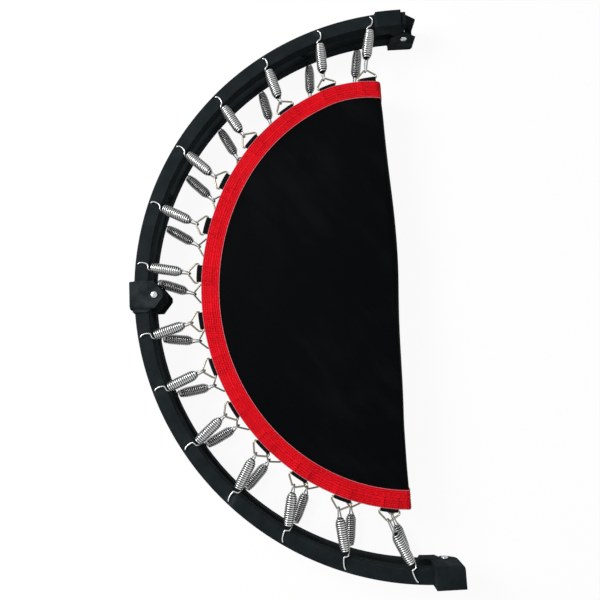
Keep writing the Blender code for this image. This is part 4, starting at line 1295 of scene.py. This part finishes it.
def band_spine(side, finest):
    """The band's outer edge from its upper end at the fold round to its lower one.

    Each station is (place, inward direction, outward-facing direction, distance along).
    """
    first = math.acos((FOLD_TURN_X - MAT_CENTRE_X) / MAT_HALF_X)
    level = height(side, -MAT_DEPTH)
    up = Vector((0, 0, side))
    top, out = rim_spot(first)
    rim = []
    steps = round(math.pi * RIM_MEAN_RADIUS / finest)
    for i in range(steps + 1):
        turn = first + (2 * math.pi - 2 * first) * i / steps
        place, out = rim_spot(turn)
        place = place - rim_slack(turn) * out
        rim.append((Vector((CENTRE_X + place.x, place.y, level)), Vector((-out.x, -out.y, 0)), up))
    stations = band_end(side, top.y - rim_slack(first))[::-1] + rim + band_end(side, -top.y)
    run, made = 0.0, []
    for i, (place, inward, face) in enumerate(stations):
        if i:
            run += (place - stations[i - 1][0]).length
        made.append((place, inward, face, run))
    return made


def loop_centres(side, spine):
    """Distance along the band of each of the fourteen loops."""
    centres = []
    for k in range(SPRINGS_PER_HALF):
        spot = rim_frame(side, k)(0, 0, 0)
        centres.append(min(spine, key=lambda station: (station[0] - spot).length)[3])
    return centres


def band_lift(run, across, centres):
    """Height of the band's underside over the mat, raised where it covers a loop."""
    over = 0.0
    for centre in centres:
        near = abs(run - centre)
        if near < 0.03:
            over = max(over, 1 - smooth_step(LOOP_WIDTH / 2 - 0.001, LOOP_WIDTH / 2 + 0.006, near))
    over *= 1 - smooth_step(LOOP_LEG - 0.002, LOOP_LEG + 0.006, across)
    return BAND_GAP + BAND_RISE * over


def band_blend(piece, half):
    """Set a piece of the band's place into its mesh, and hide the imported band pieces."""
    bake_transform(piece)
    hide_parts(f"{half}_edge_band", f"{half}_upper_band_end", f"{half}_lower_band_end")


def make_edge_webbing(half):
    """The red band round a half's rim, its rows of stitches and its light edge threads."""
    side = SIDES[half]
    settings = bpy.context.scene.trampoline_webbing
    width, length = settings.band_width, settings.stitch_length
    spine = band_spine(side, 0.004)
    centres = loop_centres(side, spine)
    total = spine[-1][3]
    across = [width * share for share in BAND_SHARES]

    def surface(station, a, extra):
        """A point on the band, at a distance in from its edge and a height over its underside."""
        place, inward, face, run = station
        wrinkle = BAND_WRINKLE * noise.noise(Vector((run * 160.0, a * 220.0, side * 3.0)))
        lift = band_lift(run, a, centres)
        return place + inward * (a - BAND_OVERHANG) + face * (lift + extra + wrinkle)

    bm = bmesh.new()
    cloth = bm.loops.layers.uv.new("Cloth")
    rings = []
    for station in spine:
        crown = [BAND_THICKNESS * (0.55 if a in (0, across[-1]) else 1.0) for a in across]
        top = [surface(station, a, h) for a, h in zip(across, crown)]
        bottom = [surface(station, a, 0.0) for a in reversed(across)]
        rings.append(top + bottom)
    made = skin(bm, rings)
    widths = across + across[::-1]
    index = {}
    for i, ring in enumerate(made):
        for j, vert in enumerate(ring):
            index[vert] = (spine[i][3] + 1, widths[j] + 1)
    for face in bm.faces:
        for corner in face.loops:
            corner[cloth].uv = index[corner.vert]
    band = new_piece(f"{half}_red_band", bm, [finish_of("Red Webbing")], 50)
    band_blend(band, half)

    def stitch_across(run, first, last, gap):
        """A row of stitches across the band, between two shares of its width."""
        a = width * first
        while a < width * last:
            add_stitch(bm, spine, run, a, 1.0, length, surface)
            a += length + gap

    bm = bmesh.new()
    for number, share in enumerate(STITCH_ROWS):
        run = 0.004 + 0.001 * number
        while run < total - 0.005:
            add_stitch(bm, spine, run, width * share, 0.0, length, surface)
            run += length + 0.0011
    for centre in centres:
        for end in (-1, 1):
            stitch_across(centre + end * (LOOP_WIDTH / 2 - 0.003), first=0.14, last=0.60, gap=0.0010)
    for bend in (SEAM_PLACE, total - SEAM_PLACE):
        for shift in (-SEAM_HALF_GAP, SEAM_HALF_GAP):
            stitch_across(bend + shift, first=0.05, last=0.93, gap=0.0008)
    stitches = new_piece(f"{half}_band_stitches", bm, [finish_of("Red Thread")], 60)
    band_blend(stitches, half)

    bm = bmesh.new()
    for a in (0.0006, width - 0.0006):
        wire(bm, [surface(station, a, BAND_THICKNESS * 0.9) for station in spine], settings.edge_thread / 2, 6)
    edging = new_piece(f"{half}_band_edge_threads", bm, [finish_of("Edge Thread")], 80)
    band_blend(edging, half)


def add_stitch(bm, spine, run, a, crosswise, length, surface):
    """One raised stitch on the band, along it or across it."""
    points = []
    for end, levels in STITCH_LEVELS:
        station = station_at(spine, run + end * length * (1 - crosswise))
        at = a + end * length * crosswise
        points += [surface(station, at, BAND_THICKNESS + level) for level in levels]
    points[1] = points[1].lerp(points[2], 0.22)
    points[3] = points[3].lerp(points[2], 0.22)
    wire(bm, points, [0.0002, 0.00036, 0.00040, 0.00036, 0.0002], 4)


def station_at(spine, run):
    """The spine's station at a distance along it."""
    low, high = 0, len(spine) - 1
    run = min(max(run, 0.0), spine[-1][3])
    while high - low > 1:
        middle = (low + high) // 2
        if spine[middle][3] <= run:
            low = middle
        else:
            high = middle
    one, two = spine[low], spine[high]
    share = (run - one[3]) / max(two[3] - one[3], 1e-9)
    return (one[0].lerp(two[0], share), one[1].lerp(two[1], share).normalized(),
            one[2].lerp(two[2], share).normalized(), run)


# Stage


def seen_directly(tree):
    """1 where the camera, a mirror or glass sees a surface, and 0 where it only lights others."""
    rays = add_node(tree, "ShaderNodeLightPath").outputs
    return calculate(tree, "MAXIMUM", rays["Is Camera Ray"],
                     calculate(tree, "MAXIMUM", rays["Is Glossy Ray"], rays["Is Transmission Ray"]))


def white_seen_by_camera(tree, surface_output, share, strength):
    """Mix a surface with plain white where the camera, a mirror or glass sees it."""
    seen = seen_directly(tree)
    glow = add_node(tree, "ShaderNodeEmission")
    glow.inputs["Strength"].default_value = strength
    mixed = add_node(tree, "ShaderNodeMixShader")
    feed(tree, mixed.inputs["Fac"], calculate(tree, "MULTIPLY", seen, share))
    tree.links.new(surface_output, mixed.inputs[1])
    tree.links.new(glow.outputs["Emission"], mixed.inputs[2])
    return mixed.outputs["Shader"]


def make_floor(settings):
    """A plain pale floor that keeps the object's shadow."""
    made, tree, _ = start_material("Pale Floor", Base_Color=tuple(settings.floor_colour), Roughness=0.9)
    surface = tree.nodes["Principled BSDF"].outputs["BSDF"]
    output = next(n for n in tree.nodes if n.type == "OUTPUT_MATERIAL")
    tree.links.new(white_seen_by_camera(tree, surface, FLOOR_WHITENESS, 1.0), output.inputs["Surface"])
    bm = bmesh.new()
    corners = [bm.verts.new((x * FLOOR_REACH, y * FLOOR_REACH, -FLOOR_DROP))
               for x, y in ((-1, -1), (1, -1), (1, 1), (-1, 1))]
    bm.faces.new(corners)
    floor = new_piece("pale_floor", bm, [made])


def make_world(settings):
    """White surroundings for the camera and for gloss, and a plain grey light for the rest."""
    world = bpy.data.worlds.new("Studio")
    bpy.context.scene.world = world
    world.use_nodes = True
    tree = world.node_tree
    tree.nodes.clear()
    seen = seen_directly(tree)
    around = add_node(tree, "ShaderNodeBackground")
    around.inputs["Color"].default_value = (0.92, 0.96, 1.0, 1.0)
    around.inputs["Strength"].default_value = settings.ambient
    white = add_node(tree, "ShaderNodeBackground")
    white.inputs["Color"].default_value = (1.0, 1.0, 1.0, 1.0)
    mixed = add_node(tree, "ShaderNodeMixShader")
    feed(tree, mixed.inputs["Fac"], seen)
    tree.links.new(around.outputs["Background"], mixed.inputs[1])
    tree.links.new(white.outputs["Background"], mixed.inputs[2])
    output = add_node(tree, "ShaderNodeOutputWorld")
    tree.links.new(mixed.outputs["Shader"], output.inputs["Surface"])


def make_lamp(name, place, size, power):
    """A soft square lamp aimed at the object."""
    data = bpy.data.lights.new(name, "AREA")
    data.size = size
    data.energy = power
    lamp = bpy.data.objects.new(name, data)
    lamp.location = place
    lamp.rotation_mode = "QUATERNION"
    lamp.rotation_quaternion = (Vector((0, 0, 0.05)) - Vector(place)).to_track_quat("-Z", "Y")
    bpy.context.scene.collection.objects.link(lamp)


def make_camera():
    """The photograph's view, almost straight down on the folded trampoline."""
    data = bpy.data.cameras.new("photo_camera")
    data.lens = 37.2
    data.sensor_width = 36.0
    data.clip_start = 0.05
    data.clip_end = 50.0
    camera = bpy.data.objects.new("photo_camera", data)
    look = Vector((0.0051, 0.1279, -0.9918)).normalized()
    right = look.cross(Vector((0.0526, 0.9904, 0.1280))).normalized()
    up = right.cross(look)
    turn = Matrix((right, up, -look)).transposed()
    camera.matrix_world = Matrix.Translation((0.0181, -0.1604, 1.1591)) @ turn.to_4x4()
    bpy.context.scene.collection.objects.link(camera)
    bpy.context.scene.camera = camera


# Settings


class TrampolineFrameSettings(bpy.types.PropertyGroup):
    """Steel frame and hinges"""
    corner_radius: FloatProperty(name="Tube Corner", description="Outer corner radius of the square tube",
                                 default=0.0024, min=0.0016, max=0.005, unit="LENGTH", precision=4)
    bracket_corner_radius: FloatProperty(name="Bracket Corner",
                                         description="Radius of the wide bracket's free inner corner",
                                         default=0.009, min=0.001, max=0.015, unit="LENGTH", precision=4)
    bracket_edge_radius: FloatProperty(name="Bracket Edge",
                                       description="Pressed edge radius of the wide bracket",
                                       default=0.0022, min=0.0005, max=0.0029, unit="LENGTH", precision=4)
    coat_colour: FloatVectorProperty(name="Coat Colour", description="Powder coat colour", subtype="COLOR",
                                     size=3, default=(0.0095, 0.0130, 0.0142), min=0.0, max=1.0)
    coat_roughness: FloatProperty(name="Coat Roughness",
                                  description="Gloss of the powder coat, lower is glossier",
                                  default=0.78, min=0.05, max=1.0, subtype="FACTOR")


class TrampolineSpringSettings(bpy.types.PropertyGroup):
    """Springs, rings and their plating"""
    wire_diameter: FloatProperty(name="Spring Wire", description="Diameter of the spring wire",
                                 default=0.0030, min=0.001, max=0.0034, unit="LENGTH", precision=4)
    coil_diameter: FloatProperty(name="Coil", description="Outside diameter at the middle of the barrel",
                                 default=0.0192, min=0.010, max=0.021, unit="LENGTH", precision=4)
    start_diameter: FloatProperty(name="First Coil",
                                  description="Outside diameter at the frame's end of the barrel",
                                  default=0.0146, min=0.008, max=0.016, unit="LENGTH", precision=4)
    end_diameter: FloatProperty(name="Last Coil",
                                description="Outside diameter at the mat's end of the barrel",
                                default=0.0116, min=0.008, max=0.014, unit="LENGTH", precision=4)
    body_length: FloatProperty(name="Coil Body", description="Length of the coiled body", default=0.0540,
                               min=0.03, max=0.06, unit="LENGTH", precision=4)
    coils: IntProperty(name="Coils", description="Number of coils in a spring", default=15, min=6, max=24)
    ring_wire: FloatProperty(name="Ring Wire", description="Diameter of the triangular rings' wire",
                             default=0.0032, min=0.0015, max=0.004, unit="LENGTH", precision=4)
    plate_colour: FloatVectorProperty(name="Zinc", description="Colour of the bright zinc", subtype="COLOR",
                                      size=3, default=(0.50, 0.52, 0.515), min=0.0, max=1.0)
    ring_colour: FloatVectorProperty(name="Ring Zinc",
                                     description="Colour of the yellowish zinc on the rings",
                                     subtype="COLOR", size=3, default=(0.26, 0.24, 0.18), min=0.0, max=1.0)
    plate_roughness: FloatProperty(name="Zinc Roughness", description="Gloss of the zinc, lower is glossier",
                                   default=0.26, min=0.05, max=1.0, subtype="FACTOR")


class TrampolineMatSettings(bpy.types.PropertyGroup):
    """Jumping mat"""
    slack: FloatProperty(name="Slack", description="Height of the slack waves in the mat", default=0.0022,
                         min=0.0, max=0.006, unit="LENGTH", precision=4)
    threads: FloatProperty(name="Threads", description="Threads to the metre, both ways", default=640.0,
                           min=100.0, max=2000.0)
    colour: FloatVectorProperty(name="Mat Colour", description="Colour of the woven threads", subtype="COLOR",
                                size=3, default=(0.0014, 0.0018, 0.0019), min=0.0, max=1.0)
    roughness: FloatProperty(name="Mat Roughness", description="Gloss of the threads, lower is glossier",
                             default=0.50, min=0.1, max=1.0, subtype="FACTOR")


class TrampolineWebbingSettings(bpy.types.PropertyGroup):
    """Edge webbing"""
    band_width: FloatProperty(name="Band Width", description="Width of the red band", default=0.032, min=0.02,
                              max=0.04, unit="LENGTH", precision=4)
    stitch_length: FloatProperty(name="Stitch", description="Length of a stitch", default=0.0032, min=0.001,
                                 max=0.008, unit="LENGTH", precision=4)
    edge_thread: FloatProperty(name="Edge Thread",
                               description="Diameter of the light threads along both edges",
                               default=0.0009, min=0.0003, max=0.002, unit="LENGTH", precision=4)
    colour: FloatVectorProperty(name="Red", description="Colour of the webbing", subtype="COLOR", size=3,
                                default=(0.75, 0.0060, 0.0140), min=0.0, max=1.0)
    gap_colour: FloatVectorProperty(name="Deep Red", description="Colour between the threads",
                                    subtype="COLOR", size=3, default=(0.42, 0.001, 0.004), min=0.0, max=1.0)
    thread_colour: FloatVectorProperty(name="Thread", description="Colour of the rows of stitches",
                                       subtype="COLOR", size=3, default=(0.34, 0.002, 0.007), min=0.0,
                                       max=1.0)
    edge_colour: FloatVectorProperty(name="Edge Colour", description="Colour of the edge threads",
                                     subtype="COLOR", size=3, default=(0.46, 0.24, 0.27), min=0.0, max=1.0)


class TrampolineStageSettings(bpy.types.PropertyGroup):
    """Floor and light"""
    floor_colour: FloatVectorProperty(name="Floor", description="Colour of the pale floor", subtype="COLOR",
                                      size=3, default=(0.86, 0.86, 0.86), min=0.0, max=1.0)
    ambient: FloatProperty(name="Surroundings", description="Strength of the plain light from all round",
                           default=0.28, min=0.0, max=2.0)
    key: FloatProperty(name="Main Lamp", description="Power of the main soft lamp", default=70.0, min=0.0,
                       max=200.0, unit="POWER")
    fill: FloatProperty(name="Fill Lamp", description="Power of the second soft lamp", default=7.0, min=0.0,
                        max=200.0, unit="POWER")


# Operators


class TRAMPOLINE_OT_tubes(bpy.types.Operator):
    """Make the four quarter tubes with their hook holes and leg studs"""
    bl_idname = "trampoline.tubes"
    bl_label = "Quarter Tubes"

    def execute(self, context):
        for half in SIDES:
            for label in QUARTERS:
                make_tube(half, label)
        return {"FINISHED"}


class TRAMPOLINE_OT_brackets(bpy.types.Operator):
    """Make the eight hinge brackets and their welds"""
    bl_idname = "trampoline.brackets"
    bl_label = "Hinge Brackets"

    def execute(self, context):
        for half, side in SIDES.items():
            holders = {True: "upper" if side > 0 else "lower", False: "lower" if side > 0 else "upper"}
            for label in QUARTERS:
                for mid, holder in holders.items():
                    make_bracket(half, label, mid, label == holder)
        return {"FINISHED"}


class TRAMPOLINE_OT_bolts(bpy.types.Operator):
    """Make the four pivot bolts and their nuts"""
    bl_idname = "trampoline.bolts"
    bl_label = "Pivot Bolts"

    def execute(self, context):
        for half, label, mid in (("front", "upper", True), ("front", "lower", False), ("rear", "lower", True),
                                 ("rear", "upper", False)):
            make_bolt(half, label, mid)
        return {"FINISHED"}


class TRAMPOLINE_OT_springs(bpy.types.Operator):
    """Make the twenty-eight barrel springs"""
    bl_idname = "trampoline.springs"
    bl_label = "Springs"

    def execute(self, context):
        for half in SIDES:
            make_springs(half)
        return {"FINISHED"}


class TRAMPOLINE_OT_rings(bpy.types.Operator):
    """Make the triangular rings and the webbing loops that hold them"""
    bl_idname = "trampoline.rings"
    bl_label = "Rings and Loops"

    def execute(self, context):
        for half in SIDES:
            make_rings_and_loops(half)
        return {"FINISHED"}


class TRAMPOLINE_OT_mat(bpy.types.Operator):
    """Make the two halves of the mat"""
    bl_idname = "trampoline.mat"
    bl_label = "Mat"

    def execute(self, context):
        for half in SIDES:
            make_mat(half)
        return {"FINISHED"}


class TRAMPOLINE_OT_webbing(bpy.types.Operator):
    """Make the red edge webbing with its stitches"""
    bl_idname = "trampoline.webbing"
    bl_label = "Edge Webbing"

    def execute(self, context):
        for half in SIDES:
            make_edge_webbing(half)
        return {"FINISHED"}


class TRAMPOLINE_OT_stage(bpy.types.Operator):
    """Make the floor, the lamps, the surroundings and the camera"""
    bl_idname = "trampoline.stage"
    bl_label = "Stage"

    def execute(self, context):
        settings = context.scene.trampoline_stage
        context.scene.view_settings.view_transform = "Standard"
        make_floor(settings)
        make_world(settings)
        make_lamp("main_lamp", (-1.5, 0.7, 1.4), 1.2, settings.key)
        make_lamp("fill_lamp", (1.2, -0.9, 1.6), 1.6, settings.fill)
        make_camera()
        return {"FINISHED"}


class TRAMPOLINE_PT_panel(bpy.types.Panel):
    """The trampoline's pieces and settings"""
    bl_idname = "TRAMPOLINE_PT_panel"
    bl_label = "Folding Mini Trampoline"
    bl_space_type = "VIEW_3D"
    bl_region_type = "UI"
    bl_category = "Trampoline"

    def draw(self, context):
        for operator in OPERATORS:
            self.layout.operator(operator.bl_idname)
        for name in SETTINGS:
            settings = getattr(context.scene, name)
            box = self.layout.box()
            for key in settings.bl_rna.properties.keys():
                if key not in ("rna_type", "name"):
                    box.prop(settings, key)


OPERATORS = (TRAMPOLINE_OT_tubes, TRAMPOLINE_OT_brackets, TRAMPOLINE_OT_bolts, TRAMPOLINE_OT_springs,
             TRAMPOLINE_OT_rings, TRAMPOLINE_OT_mat, TRAMPOLINE_OT_webbing, TRAMPOLINE_OT_stage)
SETTINGS = {"trampoline_frame": TrampolineFrameSettings, "trampoline_springs": TrampolineSpringSettings,
            "trampoline_mat": TrampolineMatSettings, "trampoline_webbing": TrampolineWebbingSettings,
            "trampoline_stage": TrampolineStageSettings}


def register():
    for name, group in SETTINGS.items():
        bpy.utils.register_class(group)
        setattr(bpy.types.Scene, name, PointerProperty(type=group))
    for operator in OPERATORS:
        bpy.utils.register_class(operator)
    bpy.utils.register_class(TRAMPOLINE_PT_panel)


def unregister():
    bpy.utils.unregister_class(TRAMPOLINE_PT_panel)
    for operator in reversed(OPERATORS):
        bpy.utils.unregister_class(operator)
    for name, group in reversed(SETTINGS.items()):
        delattr(bpy.types.Scene, name)
        bpy.utils.unregister_class(group)


def main():
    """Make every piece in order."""
    register()
    bpy.ops.trampoline.tubes()
    bpy.ops.trampoline.brackets()
    bpy.ops.trampoline.bolts()
    bpy.ops.trampoline.springs()
    bpy.ops.trampoline.rings()
    bpy.ops.trampoline.mat()
    bpy.ops.trampoline.webbing()
    bpy.ops.trampoline.stage()


if __name__ == "__main__":
    main()
